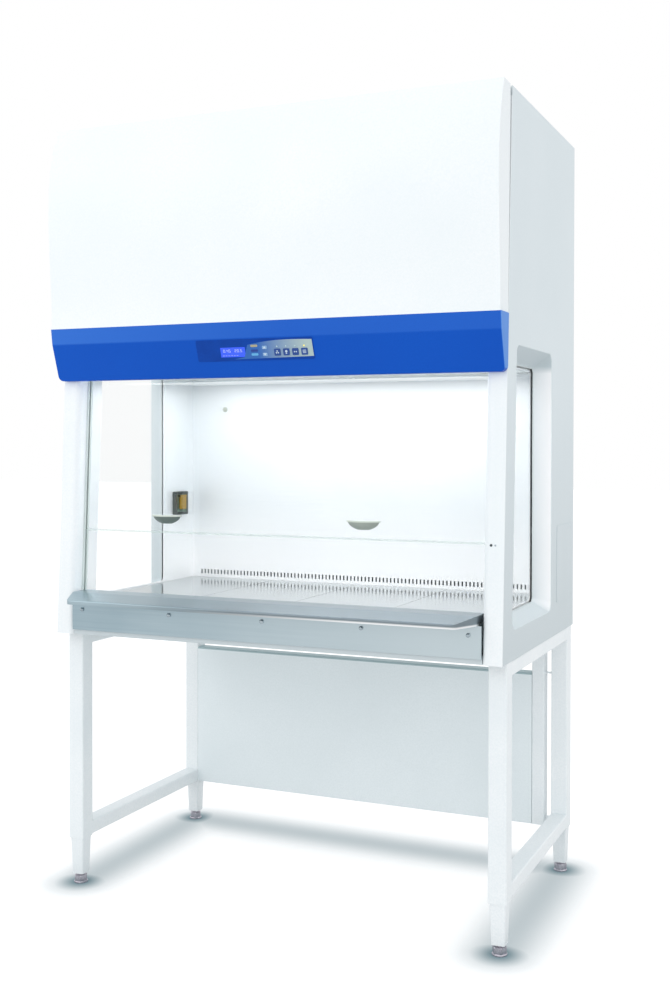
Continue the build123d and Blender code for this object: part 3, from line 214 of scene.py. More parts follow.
def shaded(tree, sockets):
    """Close a finish with one shader that has these socket values."""
    shader = add_node(tree, "ShaderNodeBsdfPrincipled", sockets)
    add_node(tree, "ShaderNodeOutputMaterial", {"Surface": shader.outputs["BSDF"]})


def faded(tree, place, colour, fade, zones):
    """Blend a colour into a second one, by the product of ramps along the piece's own axes."""
    apart = add_node(tree, "ShaderNodeSeparateXYZ", {"Vector": place})
    share = None
    for axis, start, end, low, high in zones:
        ramp = remapped(tree, apart.outputs[axis], start, end, low, high)
        share = ramp if share is None else worked_out(tree, "MULTIPLY", share, ramp)
    return blended(tree, share, colour, linear(fade))


def surface(name, light, dark, patch_mm, grain_mm, rough, bump, metallic=0.0, stretch=(1, 1, 1),
            fades=(), **fixed):
    """A finish with a slow tint change over patch_mm and a fine grain of grain_mm in its bump and gloss.

    Each fade is a second tint with the zones where it takes over.
    """
    tree = new_material(name)
    place = object_place(tree)
    grained = add_node(tree, "ShaderNodeMapping", {"Vector": place, "Scale": stretch}).outputs["Vector"]
    patches = noise(tree, place, 1 / (patch_mm * MM), 2.0)
    grain = noise(tree, grained, 1 / (grain_mm * MM), 4.0)
    share = worked_out(tree, "MULTIPLY", patches, grain)
    colour = two_tints(tree, share, dark, light, DARK_END, LIGHT_END)
    for fade, zones in fades:
        colour = faded(tree, place, colour, fade, zones)
    gloss = remapped(tree, grain, 0.0, 1.0, rough * (1 - GLOSS_SWING), rough * (1 + GLOSS_SWING))
    shaded(tree, {"Base Color": colour, "Roughness": gloss, "Metallic": metallic,
                  "Normal": bumped(tree, grain, bump, GRAIN_HEIGHT), **fixed})


def glass(name, tint, alpha):
    """Clear glass: most light passes straight on, and the rest is tinted or mirrored by the surface.

    The bulk hardly refracts, since a thin pane shows what is behind it in one place. The coat gives
    the gloss.
    """
    tree = new_material(name)
    haze = noise(tree, object_place(tree), 3.0, 3.0)
    gloss = remapped(tree, haze, 0.0, 1.0, *GLASS_ROUGHNESS)
    shaded(tree, {"Base Color": linear(tint), "Roughness": gloss, "IOR": 1.05, "Coat Weight": 0.5,
                  "Coat Roughness": 0.03, "Transmission Weight": 1.0, "Alpha": alpha})


def glowing(name, colour, glow, strength):
    """A lit surface: a lamp coating, an indicator or a display."""
    tree = new_material(name)
    gloss = remapped(tree, noise(tree, object_place(tree), 400.0, 1.0), 0.0, 1.0, 0.2, 0.32)
    shaded(tree, {"Base Color": linear(colour), "Roughness": gloss, "Emission Color": linear(glow),
                  "Emission Strength": strength})


def fading_film(name, left, right, x_left, x_right):
    """Printed film whose colour runs from one tint to another across the panel."""
    tree = new_material(name)
    place = object_place(tree)
    apart = add_node(tree, "ShaderNodeSeparateXYZ", {"Vector": place})
    across = remapped(tree, apart.outputs["X"], x_left, x_right, 0.0, 1.0)
    relief = bumped(tree, noise(tree, place, 900.0, 2.0), 0.1, FILM_GRAIN_HEIGHT)
    shaded(tree, {"Base Color": two_tints(tree, across, left, right), "Roughness": 0.38, "Normal": relief})


def make_finishes(look):
    """Every finish of the cabinet."""
    make_paints(look)
    make_steels(look)
    make_plastics(look)
    make_other_metals()
    make_lights_and_glass(look)


def make_paints(look):
    """Powder coats and paints."""
    # Powder coat on steel sheet: even, slightly glossy, with a faint orange peel drawn at 5 mm.
    surface("white_powder_coat", look.enamel, "#EEF4F6", 400, 5, 0.34, 0.05,
            **{"Coat Weight": 0.15, "Coat Roughness": 0.2})
    surface("stand_powder_coat", look.enamel, "#EAF0F2", 250, 5, 0.36, 0.06)
    # Textured coat on the outer sides, duller than the front: its grey is painted shade laid on the front's
    # white, and more painted shade makes it a little greyer low down.
    low_painted_shade = ("#CCD5D8", [("Z", 0.75, 1.45, 1.0, 0.0)])
    surface("grey_white_textured_coat", look.side_enamel, "#DCE5E8", 300, 4, 0.5, 0.12, fades=[low_painted_shade])
    # In the window recesses painted light makes the rear reveal white, and painted shade makes the soffit
    # greyer.
    within = [("X", 0.6675, 0.6695, 1.0, 0.0), ("X", 0.60, 0.61, 0.0, 1.0), ("Y", 0.16, 0.165, 1.0, 0.0),
              ("Z", 1.56, 1.565, 1.0, 0.0)]
    reveal_painted_light = ("#FFFFFF", within + [("Y", 0.125, 0.15, 0.0, 1.0)])
    soffit_painted_shade = ("#C2CDD1", within + [("Z", 1.495, 1.515, 0.0, 1.0)])
    surface("recessed_textured_coat", look.side_enamel, "#DCE5E8", 300, 4, 0.5, 0.12,
            fades=[low_painted_shade, reveal_painted_light, soffit_painted_shade])
    # The modesty panel's top bend carries a grey-blue strip of painted shade, where the cabinet above shades
    # it.
    top_bend_painted_shade = ("#A4BABE", [("Z", 0.5915, 0.5925, 0.0, 1.0)])
    surface("panel_powder_coat", "#F0F7F9", "#E8F0F2", 300, 5, 0.4, 0.05, fades=[top_bend_painted_shade])
    # Thick enamel over the sand-cast skin of the counterweights.
    surface("painted_cast_iron", "#4B5053", "#3C4043", 40, 3, 0.6, 0.3)
    surface("motor_paint", "#33373A", "#26292C", 40, 3, 0.5, 0.2)


def make_steels(look):
    """Steels: a grain drawn out along the width stretches reflections upwards."""
    # The armrest carries painted shade towards the middle and right, and a painted highlight along its lip.
    armrest_painted_shade = ("#848F95", [("X", -0.5, -0.05, 0.0, 1.0)])
    lip_painted_highlight = ("#FFFFFF", [("X", -0.2, 0.3, 0.0, 0.9), ("Z", 0.8455, 0.849, 1.0, 0.0)])
    surface("brushed_stainless", look.steel, "#A3B6BE", 260, 6, 0.32, 0.04, 1.0, (0.02, 1, 1), [armrest_painted_shade, lip_painted_highlight])
    # The apron is the same sheet, with painted light that brightens it towards the right.
    apron_painted_light = ("#C8D4D8", [("X", -0.45, 0.5, 0.0, 1.0)])
    surface("apron_stainless", "#B1C2C9", "#A1B5BE", 260, 6, 0.34, 0.04, 1.0, (0.02, 1, 1), [apron_painted_light])
    # The trays and grille are polished finer, so that the wall's slots mirror in them.
    surface("polished_stainless", "#BEC5C6", "#B4BCBE", 260, 6, 0.16, 0.02, 1.0, (0.03, 1, 1))
    # The walls of the work zone have a pale satin finish that hardly mirrors, and painted light makes them
    # paler still low down.
    low_painted_light = ("#FFFFFF", [("Z", 0.9, 1.1, 1.0, 0.0)])
    surface("satin_stainless", "#F0F3F4", "#EAEEF0", 300, 5, 0.55, 0.03, 0.45, (0.05, 1, 1), [low_painted_light])
    surface("bright_steel", "#C9D3D8", "#9FADB4", 30, 2, 0.16, 0.05, 1.0)


def make_plastics(look):
    """Moulded and printed plastics, and rubbers."""
    # Moulded ABS with a satin gloss; a painted sheen makes its upright band paler, most at the left, and
    # painted light makes its right end paler.
    band_painted_sheen = ("#4482DE", [("X", -0.672, 0.1, 0.55, 0.22), ("Z", 1.574, 1.58, 0.0, 1.0)])
    right_end_painted_light = ("#5E98E4", [("X", 0.6695, 0.6715, 0.0, 0.85)])
    surface("moulded_blue_plastic", look.fascia, "#0450BC", 500, 3, 0.4, 0.05, fades=[band_painted_sheen, right_end_painted_light],
            **{"Specular IOR Level": 0.14})
    # Matt printed films of the control panel.
    surface("printed_blue_film", "#0A48AC", "#083E98", 60, 1.5, 0.42, 0.04, **{"Specular IOR Level": 0.12})
    fading_film("fading_silver_film", "#2064B4", "#B0C4C2", -0.005, 0.14)
    surface("dark_blue_key", "#1B4A98", "#164088", 20, 1, 0.42, 0.06)
    surface("pale_key", "#8FB6DC", "#7FA8D2", 20, 1, 0.42, 0.06)
    surface("key_marks", "#CFE0F0", "#C2D4E6", 10, 1, 0.45, 0.02)
    surface("navy_mark", "#14409C", "#103688", 10, 1, 0.4, 0.02)
    # Moulded grips: pale ledge above, and painted shade darkens the scoop below it.
    scoop_painted_shade = ("#66746F", [("Z", 1.0875, 1.0885, 1.0, 0.0), ("X", -0.3, 0.25, 1.0, 0.5)])
    surface("moulded_grey_plastic", "#D5DCD2", "#C9D1C7", 40, 1.5, 0.42, 0.06, fades=[scoop_painted_shade])
    surface("grey_sensor_plastic", "#BFC4B8", "#B2B8AC", 40, 1.5, 0.42, 0.06)
    # Dark grey polycarbonate box; inside its frame the socket's own face is pale.
    socket_face = ("#7F9786", [("X", -0.5985, -0.5975, 1.0, 0.0), ("Y", 0.1912, 0.1918, 0.0, 1.0),
                               ("Y", 0.2472, 0.2478, 1.0, 0.0), ("Z", 1.0682, 1.0688, 0.0, 1.0),
                               ("Z", 1.1272, 1.1278, 1.0, 0.0)])
    surface("socket_plastic", "#27322F", "#1F2927", 30, 1.5, 0.45, 0.06, fades=[socket_face])
    surface("yellow_plastic", "#A88408", "#987606", 30, 1.5, 0.4, 0.06)
    surface("natural_nylon", "#E6E4DC", "#D8D6CC", 20, 2, 0.5, 0.06)
    # Soft plastics: the window seals, the column's lock and the lever's dipped sleeve.
    surface("grey_silicone_rubber", "#E2E9E9", "#D6DEDE", 60, 2, 0.6, 0.08)
    surface("dark_rubber", "#4A5458", "#3E474B", 60, 2, 0.62, 0.1)
    surface("dipped_vinyl", "#B22A22", "#962018", 30, 3, 0.4, 0.1)


def make_other_metals():
    """Metals other than stainless steel, and the filters' paper."""
    # Anodised guides and carriers, drawn along their length.
    surface("anodised_aluminium", "#E4ECEA", "#D6E0DD", 80, 3, 0.42, 0.05, 0.3, (1, 1, 0.05))
    surface("stranded_wire_rope", "#8A9094", "#5E6468", 5, 1, 0.4, 0.5, 1.0)
    # Hot-dip galvanised sheet with its spangle.
    surface("galvanised_sheet", "#C3C9CC", "#98A1A6", 25, 12, 0.38, 0.08, 0.9)
    surface("turned_brass", "#D8BE7C", "#B89A54", 30, 2, 0.3, 0.06, 1.0)
    # Bright zinc plate on the levelling feet.
    surface("zinc_plate", "#E2DEE6", "#B9B3BC", 12, 2, 0.3, 0.1, 0.85)
    surface("pleated_filter_paper", "#F4F4EE", "#E4E4DC", 60, 4, 0.85, 0.2)


def make_lights_and_glass(look):
    """Lit surfaces and glass."""
    # Backlit display and its lighter digits.
    glowing("lit_display", "#2C50DE", "#2C54EA", 0.45)
    glowing("display_digits", "#A0AEFA", "#A0AEFA", 0.35)
    # Back-lit marks and indicators of the control panel.
    glowing("amber_mark", "#A9A284", "#A89C78", 0.08)
    glowing("pale_blue_mark", "#5CA8D8", "#5CA8D8", 0.1)
    glowing("yellow_indicator", "#F2E06A", "#F6E060", 0.5)
    glowing("clear_indicator", "#B4CED0", "#B4CED0", 0.1)
    # Phosphor coating of the work lamp.
    glowing("lit_lamp", "#F6FAFF", "#EAF4FF", look.lamp_glow)
    # Laminated sash and windows, and the sash's ground lower edge.
    glass("laminated_glass", "#F2FAF7", 0.08)
    surface("ground_glass_edge", "#DCEAE6", "#CEDFDA", 40, 2, 0.25, 0.05, **{"Alpha": 0.32})


NODE_FINISHES = {
    "white_powder_coat": ["front_column_left", "front_column_right", "hood_door"],
    "panel_powder_coat": ["modesty_panel"],
    "recessed_textured_coat": ["side_panel_left", "side_panel_right"],
    "grey_white_textured_coat": ["back_panel", "top_panel", "cabinet_base", "service_cover"],
    "stand_powder_coat": ["stand_side_frame_left", "stand_side_frame_right", "stand_rear_frame",
                          "leg_sleeves"],
    "brushed_stainless": ["armrest"],
    "apron_stainless": ["drain_pan"],
    "polished_stainless": ["front_grille", "work_tray_1", "work_tray_2", "work_tray_3", "work_tray_4"],
    "satin_stainless": ["back_wall", "side_liner_left", "side_liner_right", "ceiling_diffuser"],
    "bright_steel": ["apron_knobs", "hood_hinge", "pulley_shaft"],
    "moulded_blue_plastic": ["fascia"],
    "printed_blue_film": ["control_panel"],
    "lit_display": ["display"],
    "dark_blue_key": ["fan_key", "lamp_key", "socket_key", "menu_key"],
    "pale_key": ["up_key", "down_key"],
    "laminated_glass": ["sash_glass", "side_windows"],
    "moulded_grey_plastic": ["sash_grips"],
    "anodised_aluminium": ["sash_carriers", "sash_guides"],
    "painted_cast_iron": ["counterweights"],
    "stranded_wire_rope": ["cable_loops"],
    "natural_nylon": ["lower_pulleys"],
    "galvanised_sheet": ["pressure_plenum", "blower_housing", "blower_impeller"],
    "pleated_filter_paper": ["supply_filter", "exhaust_filter"],
    "motor_paint": ["blower_motor"],
    "lit_lamp": ["work_lamp"],
    "socket_plastic": ["outlet_box"],
    "yellow_plastic": ["outlet_flap"],
    "turned_brass": ["drain_valve"],
    "dipped_vinyl": ["drain_lever"],
    "zinc_plate": ["foot_front_left", "foot_front_right", "foot_rear_left", "foot_rear_right"],
}


# ---------------------------------------------------------------- modelling helpers

SMOOTH_ANGLE, TUBE_SMOOTH_ANGLE = math.radians(40), math.radians(50)
ARC_STEPS = 5


def deselect():
    """Leave nothing selected, in object mode."""
    if bpy.context.object and bpy.context.object.mode != "OBJECT":
        bpy.ops.object.mode_set(mode="OBJECT")
    bpy.ops.object.select_all(action="DESELECT")


def settle(obj, name):
    """Name the active object and move its place, turn and scale into its mesh."""
    obj.name = name
    obj.data.name = name
    deselect()
    obj.select_set(True)
    bpy.context.view_layer.objects.active = obj
    bpy.ops.object.transform_apply(location=True, rotation=True, scale=True)
    return obj


def block(name, low, high, radius):
    """A block between two corners with every edge rounded."""
    deselect()
    low, high = Vector(low), Vector(high)
    bpy.ops.mesh.primitive_cube_add(size=1, location=(low + high) / 2)
    obj = bpy.context.active_object
    obj.scale = high - low
    settle(obj, name)
    bpy.ops.object.mode_set(mode="EDIT")
    bpy.ops.mesh.select_all(action="SELECT")
    bpy.ops.mesh.bevel(offset=radius, segments=2, affect="EDGES")
    bpy.ops.object.mode_set(mode="OBJECT")
    bpy.ops.object.shade_smooth_by_angle(angle=SMOOTH_ANGLE)
    return obj


def turned(name, centre, direction, stations, vertices=24):
    """A turned piece: a disc extruded and scaled along an axis through (distance, radius) stations."""
    deselect()
    first = stations[0]
    bpy.ops.mesh.primitive_circle_add(vertices=vertices, radius=first[1], fill_type="NGON",
                                      location=(0, 0, first[0]))
    obj = bpy.context.active_object
    bpy.ops.object.mode_set(mode="EDIT")
    bpy.ops.mesh.select_all(action="SELECT")
    for before, after in zip(stations, stations[1:]):
        bpy.ops.mesh.extrude_region_move(TRANSFORM_OT_translate={"value": (0, 0, after[0] - before[0])})
        ratio = after[1] / before[1]
        bpy.ops.transform.resize(value=(ratio, ratio, 1))
    bpy.ops.mesh.select_all(action="SELECT")
    bpy.ops.mesh.normals_make_consistent(inside=False)
    bpy.ops.object.mode_set(mode="OBJECT")
    bpy.ops.object.shade_smooth_by_angle(angle=SMOOTH_ANGLE)
    turn = Vector(direction).to_track_quat("Z", "Y").to_matrix().to_4x4()
    obj.matrix_world = Matrix.Translation(centre) @ turn
    return settle(obj, name)


def line_curve(points, closed):
    """A straight-segment curve through points, as the active object."""
    deselect()
    bpy.ops.curve.primitive_bezier_curve_add(location=(0, 0, 0))
    obj = bpy.context.active_object
    obj.data.splines.clear()
    spline = obj.data.splines.new("POLY")
    spline.points.add(len(points) - 1)
    for place, point in zip(spline.points, points):
        place.co = (*point, 1)
    spline.use_cyclic_u = closed
    return obj


def plate(name, outline, thickness, matrix):
    """A thin plate from a closed flat curve of (x, y) points in millimetres, laid by a matrix."""
    obj = line_curve([(x * MM, y * MM, 0) for x, y in outline], True)
    obj.data.dimensions = "2D"
    obj.data.fill_mode = "BOTH"
    obj.data.extrude = thickness * MM / 2
    bpy.ops.object.convert(target="MESH")
    obj = bpy.context.active_object
    bpy.ops.object.mode_set(mode="EDIT")
    bpy.ops.mesh.select_all(action="SELECT")
    bpy.ops.mesh.remove_doubles(threshold=1e-6)
    bpy.ops.mesh.normals_make_consistent(inside=False)
    bpy.ops.object.mode_set(mode="OBJECT")
    obj.matrix_world = matrix @ Matrix.Translation((0, 0, thickness * MM / 2))
    return settle(obj, name)


def rounded_outline(x0, y0, x1, y1, radius):
    """Points round a rectangle with round corners, in millimetres."""
    corners = [(x1 - radius, y1 - radius, 0), (x0 + radius, y1 - radius, 90),
               (x0 + radius, y0 + radius, 180), (x1 - radius, y0 + radius, 270)]
    points = []
    for cx, cy, start in corners:
        for i in range(ARC_STEPS + 1):
            angle = math.radians(start + 90 * i / ARC_STEPS)
            points.append((cx + radius * math.cos(angle), cy + radius * math.sin(angle)))
    return points


def joined(name, pieces):
    """Join pieces into one object."""
    deselect()
    for piece in pieces:
        piece.select_set(True)
    bpy.context.view_layer.objects.active = pieces[0]
    bpy.ops.object.join()
    pieces[0].name = name
    return pieces[0]


def copied(piece, offset):
    """A copy of a piece with its own mesh, moved by an offset."""
    deselect()
    piece.select_set(True)
    bpy.context.view_layer.objects.active = piece
    bpy.ops.object.duplicate(linked=False)
    obj = bpy.context.active_object
    obj.location = Vector(offset)
    return settle(obj, piece.name + "_copy")


def tube_along(name, points, radius, closed=False):
    """A round bead along a line of points."""
    obj = line_curve(points, closed)
    obj.data.dimensions = "3D"
    obj.data.bevel_depth = radius
    obj.data.bevel_resolution = 2
    obj.data.use_fill_caps = not closed
    bpy.ops.object.convert(target="MESH")
    bpy.ops.object.shade_smooth_by_angle(angle=TUBE_SMOOTH_ANGLE)
    return settle(bpy.context.active_object, name)


def place_piece(piece, finish, body):
    """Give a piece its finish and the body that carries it."""
    piece.data.materials.clear()
    piece.data.materials.append(FINISHES[finish])
    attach(piece, body)


# ---------------------------------------------------------------- properties


class CabinetLook(bpy.types.PropertyGroup):
    """Colours and strengths that a user would change."""

    enamel: bpy.props.StringProperty(name="Enamel", description="White of the front and stand",
                                     default="#F6F9FA")
    # The outer sides' tint is the front's white with painted shade.
    side_enamel: bpy.props.StringProperty(name="Side enamel", description="Tint of the outer sides",
                                          default="#E0E8EB")
    steel: bpy.props.StringProperty(name="Steel", description="Tint of the brushed steel",
                                    default="#B4C5CC")
    fascia: bpy.props.StringProperty(name="Fascia", description="Blue of the fascia", default="#0656C3")
    lamp_glow: bpy.props.FloatProperty(name="Lamp glow", description="Brightness of the work lamp",
                                       default=3.0, min=0.0)


class StudioSizes(bpy.types.PropertyGroup):
    """Places and strengths of the studio."""

    camera_place: bpy.props.FloatVectorProperty(name="Camera place", description="Where the camera stands",
                                                default=(1.495, -3.105, 1.2934), subtype="TRANSLATION")
    camera_yaw: bpy.props.FloatProperty(name="Camera yaw", description="Turn to the left", default=0.39189,
                                        subtype="ANGLE")
    camera_pitch: bpy.props.FloatProperty(name="Camera pitch", description="Tilt upwards", default=-0.01094,
                                          subtype="ANGLE")
    camera_roll: bpy.props.FloatProperty(name="Camera roll", description="Turn about the view",
                                         default=0.00203, subtype="ANGLE")
    lens: bpy.props.FloatProperty(name="Lens", description="Focal length on a 36 mm high frame, in mm",
                                  default=42.12)
    key_power: bpy.props.FloatProperty(name="Key power", description="Power of the key light, in watts",
                                       default=15.0)
    chamber_power: bpy.props.FloatProperty(name="Chamber power", default=4.0,
                                           description="Light inside the work zone, in watts")


# ---------------------------------------------------------------- operators


class CABINET_OT_finishes(bpy.types.Operator):
    """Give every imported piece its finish."""

    bl_idname = "cabinet.finishes"
    bl_label = "Finish the packed pieces"

    def execute(self, context):
        make_finishes(context.scene.cabinet_look)
        for finish, names in NODE_FINISHES.items():
            for name in names:
                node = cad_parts[name]
                node.data.materials.clear()
                node.data.materials.append(FINISHES[finish])
        return {"FINISHED"}


class CABINET_OT_control_print(bpy.types.Operator):
    """Print and lamps on the control panel: silver field, mode marks, key lamps and digits."""

    bl_idname = "cabinet.control_print"
    bl_label = "Control panel print"

    def execute(self, context):
        face = band_matrix(FILM_FACE * MM)
        field = plate("silver_field", self.field_outline(), FILM_THICK, face)
        place_piece(field, "fading_silver_film", "hood")
        marks = ((-22.0, "amber_mark"), (-35.0, "navy_mark"), (-45.5, "pale_blue_mark"))
        for index, (y, finish) in enumerate(marks):
            outline = rounded_outline(-28, y - 3.2, -7, y + 3.2, 2.6)
            mark = plate(f"mode_mark_{index + 1}", outline, MARK_THICK, face)
            place_piece(mark, finish, "hood")
        dome = [(0, 0.0022), (0.0006, 0.0021), (0.0013, 0.0014), (0.0016, 0.0005)]
        for index, x in enumerate(KEY_X):
            centre = face @ Vector((x * MM, KEY_LAMP_Y * MM, 0))
            lamp = turned(f"key_lamp_{index + 1}", centre, BAND_OUT, dome)
            finish = "yellow_indicator" if x == KEY_X[-1] else "clear_indicator"
            place_piece(lamp, finish, "hood")
        self.digits(band_matrix((FILM_FACE + 0.1) * MM))
        return {"FINISHED"}

    def field_outline(self):
        """Silver field: a bowed upper edge that drops to the left, and a tapering lower edge."""
        wide = FIELD_RIGHT - FIELD_LEFT
        upper = []
        for x in range(FIELD_RIGHT, FIELD_LEFT - 1, -12):
            bow = 2.2 * math.sin(math.pi * (x - FIELD_LEFT) / wide)
            drop = 12.0 * ((FIELD_RIGHT - x) / wide) ** 3
            upper.append((x, -9.0 + bow - drop))
        return upper + [(-50, -52.0), (-82, -57.5), (0, -56.6), (80, -55.4), (156.5, -54.0)]

    def digits(self, matrix):
        """Plain segment digits on the display, over a row of six short bars."""
        shapes = {"0": "abcdef", "2": "abged", "4": "fgbc", "5": "afgcd"}
        bars = {"a": (0, 8, 4, 1), "b": (4, 4, 1, 4), "c": (4, 0, 1, 4), "d": (0, 0, 4, 1),
                "e": (0, 0, 1, 4), "f": (0, 4, 1, 4), "g": (0, 4, 4, 1)}
        across, up = DIGIT_SIZE, DIGIT_SIZE * 0.8
        pieces = []
        for text, x, y in (("0.45", -113, -38), ("20.5", -78, -38)):
            for char in text:
                if char == ".":
                    pieces.append(self.bar(x, y, 1.2, 1.2, matrix))
                    x += 2.6
                    continue
                for name in shapes[char]:
                    bx, by, wide, high = bars[name]
                    pieces.append(self.bar(x + bx * across, y + by * up, wide * across + 0.4,
                                           high * up + 0.3, matrix))
                x += DIGIT_PITCH
        for i in range(6):
            pieces.append(self.bar(-116 + i * 8.4, -47.5, 5.4, 1.0, matrix))
        digits = joined("display_digits", pieces)
        place_piece(digits, "display_digits", "hood")

    def bar(self, x, y, wide, high, matrix):
        """One thin bar of a digit."""
        outline = [(x, y), (x + wide, y), (x + wide, y + high), (x, y + high)]
        return plate("bar", outline, DIGIT_THICK, matrix)


class CABINET_OT_key_marks(bpy.types.Operator):
    """Raised marks on the six keys, each riding on its own key."""

    bl_idname = "cabinet.key_marks"
    bl_label = "Key marks"

    def execute(self, context):
        top = band_matrix(KEY_TOP * MM)
        fan_x, lamp_x, socket_x, menu_x = KEY_X
        marks = {"fan_key": self.fan(fan_x, KEY_Y), "lamp_key": self.lamp(lamp_x, KEY_Y),
                 "socket_key": self.socket(socket_x, KEY_Y), "menu_key": self.menu(menu_x, KEY_Y),
                 "up_key": [[(9, -29.8), (19, -29.8), (14, -23.6)]],
                 "down_key": [[(9, -43.2), (14, -49.4), (19, -43.2)]]}
        for key, outlines in marks.items():
            pieces = [plate("mark", outline, KEY_MARK_THICK, top) for outline in outlines]
            place_piece(joined(f"{key}_mark", pieces), "key_marks", key)
        return {"FINISHED"}

    def fan(self, x, y):
        """Three blades about a hub."""
        blades = []
        for i in range(3):
            start = math.radians(90 + 120 * i)
            blades.append([(x + r * math.cos(start + a), y + r * math.sin(start + a))
                           for r, a in ((1.2, -0.6), (4.6, -0.5), (5.2, 0.1), (4.4, 0.6), (1.2, 0.6))])
        return blades

    def lamp(self, x, y):
        """A round lamp with a foot."""
        bulb = rounded_outline(x - 3.4, y - 1.8, x + 3.4, y + 5, 3.3)
        return [bulb, rounded_outline(x - 2, y - 5, x + 2, y - 2.6, 0.8)]

    def socket(self, x, y):
        """Two pin holes."""
        return [rounded_outline(left, y - 1.8, left + 3.4, y + 1.8, 1.6) for left in (x - 4.4, x + 1)]

    def menu(self, x, y):
        """Three bars."""
        return [rounded_outline(x - 5, y + d - 0.8, x + 5, y + d + 0.8, 0.7) for d in (-3.4, 0, 3.4)]


class CABINET_OT_window_seals(bpy.types.Operator):
    """Soft seals round both side windows, outside the glass."""

    bl_idname = "cabinet.window_seals"
    bl_label = "Window seals"

    def execute(self, context):
        corners = [(slope_y(SEAL_LOW) + SEAL_BEHIND_COLUMN, SEAL_LOW), (SEAL_BACK, SEAL_LOW),
                   (SEAL_BACK, SEAL_HIGH), (slope_y(SEAL_HIGH) + SEAL_BEHIND_COLUMN, SEAL_HIGH)]
        for side, x in (("left", -SEAL_X), ("right", SEAL_X)):
            points = self.rounded(corners, SEAL_CORNER, x)
            seal = tube_along(f"window_seal_{side}", points, SEAL_RADIUS, closed=True)
            place_piece(seal, "grey_silicone_rubber", "cabinet")
        return {"FINISHED"}

    def rounded(self, corners, radius, x):
        """Points round a closed (y, z) outline with arcs at its corners."""
        points = []
        count = len(corners)
        for i in range(count):
            here = Vector(corners[i])
            into = (here - Vector(corners[i - 1])).normalized()
            away = (Vector(corners[(i + 1) % count]) - here).normalized()
            start, end = here - into * radius, here + away * radius
            for step in range(ARC_STEPS + 1):
                t = step / ARC_STEPS
                spot = start.lerp(here, t).lerp(here.lerp(end, t), t)
                points.append((x, spot.x, spot.y))
        return points


class CABINET_OT_sash_fittings(bpy.types.Operator):
    """The sash's ground lower edge."""

    bl_idname = "cabinet.sash_fittings"
    bl_label = "Sash fittings"

    def execute(self, context):
        low = (SASH_LOW.x + EDGE_MARGIN, SASH_LOW.y - 0.0006, SASH_LOW.z - 0.0015)
        high = (SASH_HIGH.x - EDGE_MARGIN, SASH_LOW.y + 0.0068, SASH_LOW.z + 0.0035)
        edge = block("sash_lower_edge", low, high, EDGE_ROUND)
        place_piece(edge, "ground_glass_edge", "sash")
        return {"FINISHED"}


class CABINET_OT_small_fittings(bpy.types.Operator):
    """Column lock and plug, airflow sensor and foot threads."""

    bl_idname = "cabinet.small_fittings"
    bl_label = "Small fittings"

    def execute(self, context):
        face = slope_y(LOCK_Z) + COLUMN_SEAT
        forwards = (0, -1, 0)
        ring = [(0, 0.0034), (0.0016, 0.0034), (0.0022, 0.0029), (0.0022, 0.0018), (0.001, 0.0016)]
        lock = turned("column_lock", (LOCK_X, face, LOCK_Z), forwards, ring)
        place_piece(lock, "dark_rubber", "cabinet")
        cap = [(0, 0.0025), (0.0012, 0.0025), (0.0018, 0.0018)]
        plug = turned("column_plug", (PLUG_X, face, LOCK_Z), forwards, cap)
        place_piece(plug, "bright_steel", "cabinet")
        probe = [(0, 0.0085), (0.003, 0.0085), (0.0042, 0.0074), (0.0042, 0.0045), (0.012, 0.004),
                 (0.0135, 0.0026)]
        sensor = turned("airflow_sensor", (SENSOR_X, WALL_LOW.y + SENSOR_SEAT, SENSOR_Z), forwards, probe)
        place_piece(sensor, "grey_sensor_plastic", "cabinet")
        self.foot_threads()
        return {"FINISHED"}

    def foot_threads(self):
        """A raised thread on the bare stretch of each levelling stud."""
        for corner in ("front_left", "front_right", "rear_left", "rear_right"):
            low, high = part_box(f"foot_{corner}")
            cx, cy = (low.x + high.x) / 2, (low.y + high.y) / 2
            points = []
            for i in range(THREAD_TURNS * THREAD_STEPS + 1):
                turn = i / THREAD_STEPS
                across = THREAD_RADIUS * math.cos(turn * math.tau)
                along = THREAD_RADIUS * math.sin(turn * math.tau)
                points.append((cx + across, cy + along, THREAD_LOW_Z + THREAD_PITCH * turn))
            thread = tube_along(f"foot_thread_{corner}", points, THREAD_WIRE)
            place_piece(thread, "zinc_plate", f"foot_{corner}")


class CABINET_OT_panel_screws(bpy.types.Operator):
    """Screws that hold the rear panel."""

    bl_idname = "cabinet.panel_screws"
    bl_label = "Panel screws"

    def execute(self, context):
        head = [(0, 0.0048), (0.0012, 0.0048), (0.0022, 0.0034), (0.0026, 0.0012)]
        corner = (BACK_LOW.x + SCREW_FROM_SIDE, BACK_HIGH.y - SCREW_SINK, BACK_LOW.z + SCREW_FROM_END)
        first = turned("rear_screw", corner, (0, 1, 0), head, 16)
        spacing = (BACK_HIGH.z - BACK_LOW.z - 2 * SCREW_FROM_END) / (SCREW_ROWS - 1)
        reach = BACK_HIGH.x - BACK_LOW.x - 2 * SCREW_FROM_SIDE
        places = [(column * reach, 0, row * spacing) for row in range(SCREW_ROWS) for column in (0, 1)]
        copies = [copied(first, place) for place in places[1:]]
        rear = joined("rear_panel_screws", [first] + copies)
        place_piece(rear, "bright_steel", "cabinet")
        return {"FINISHED"}


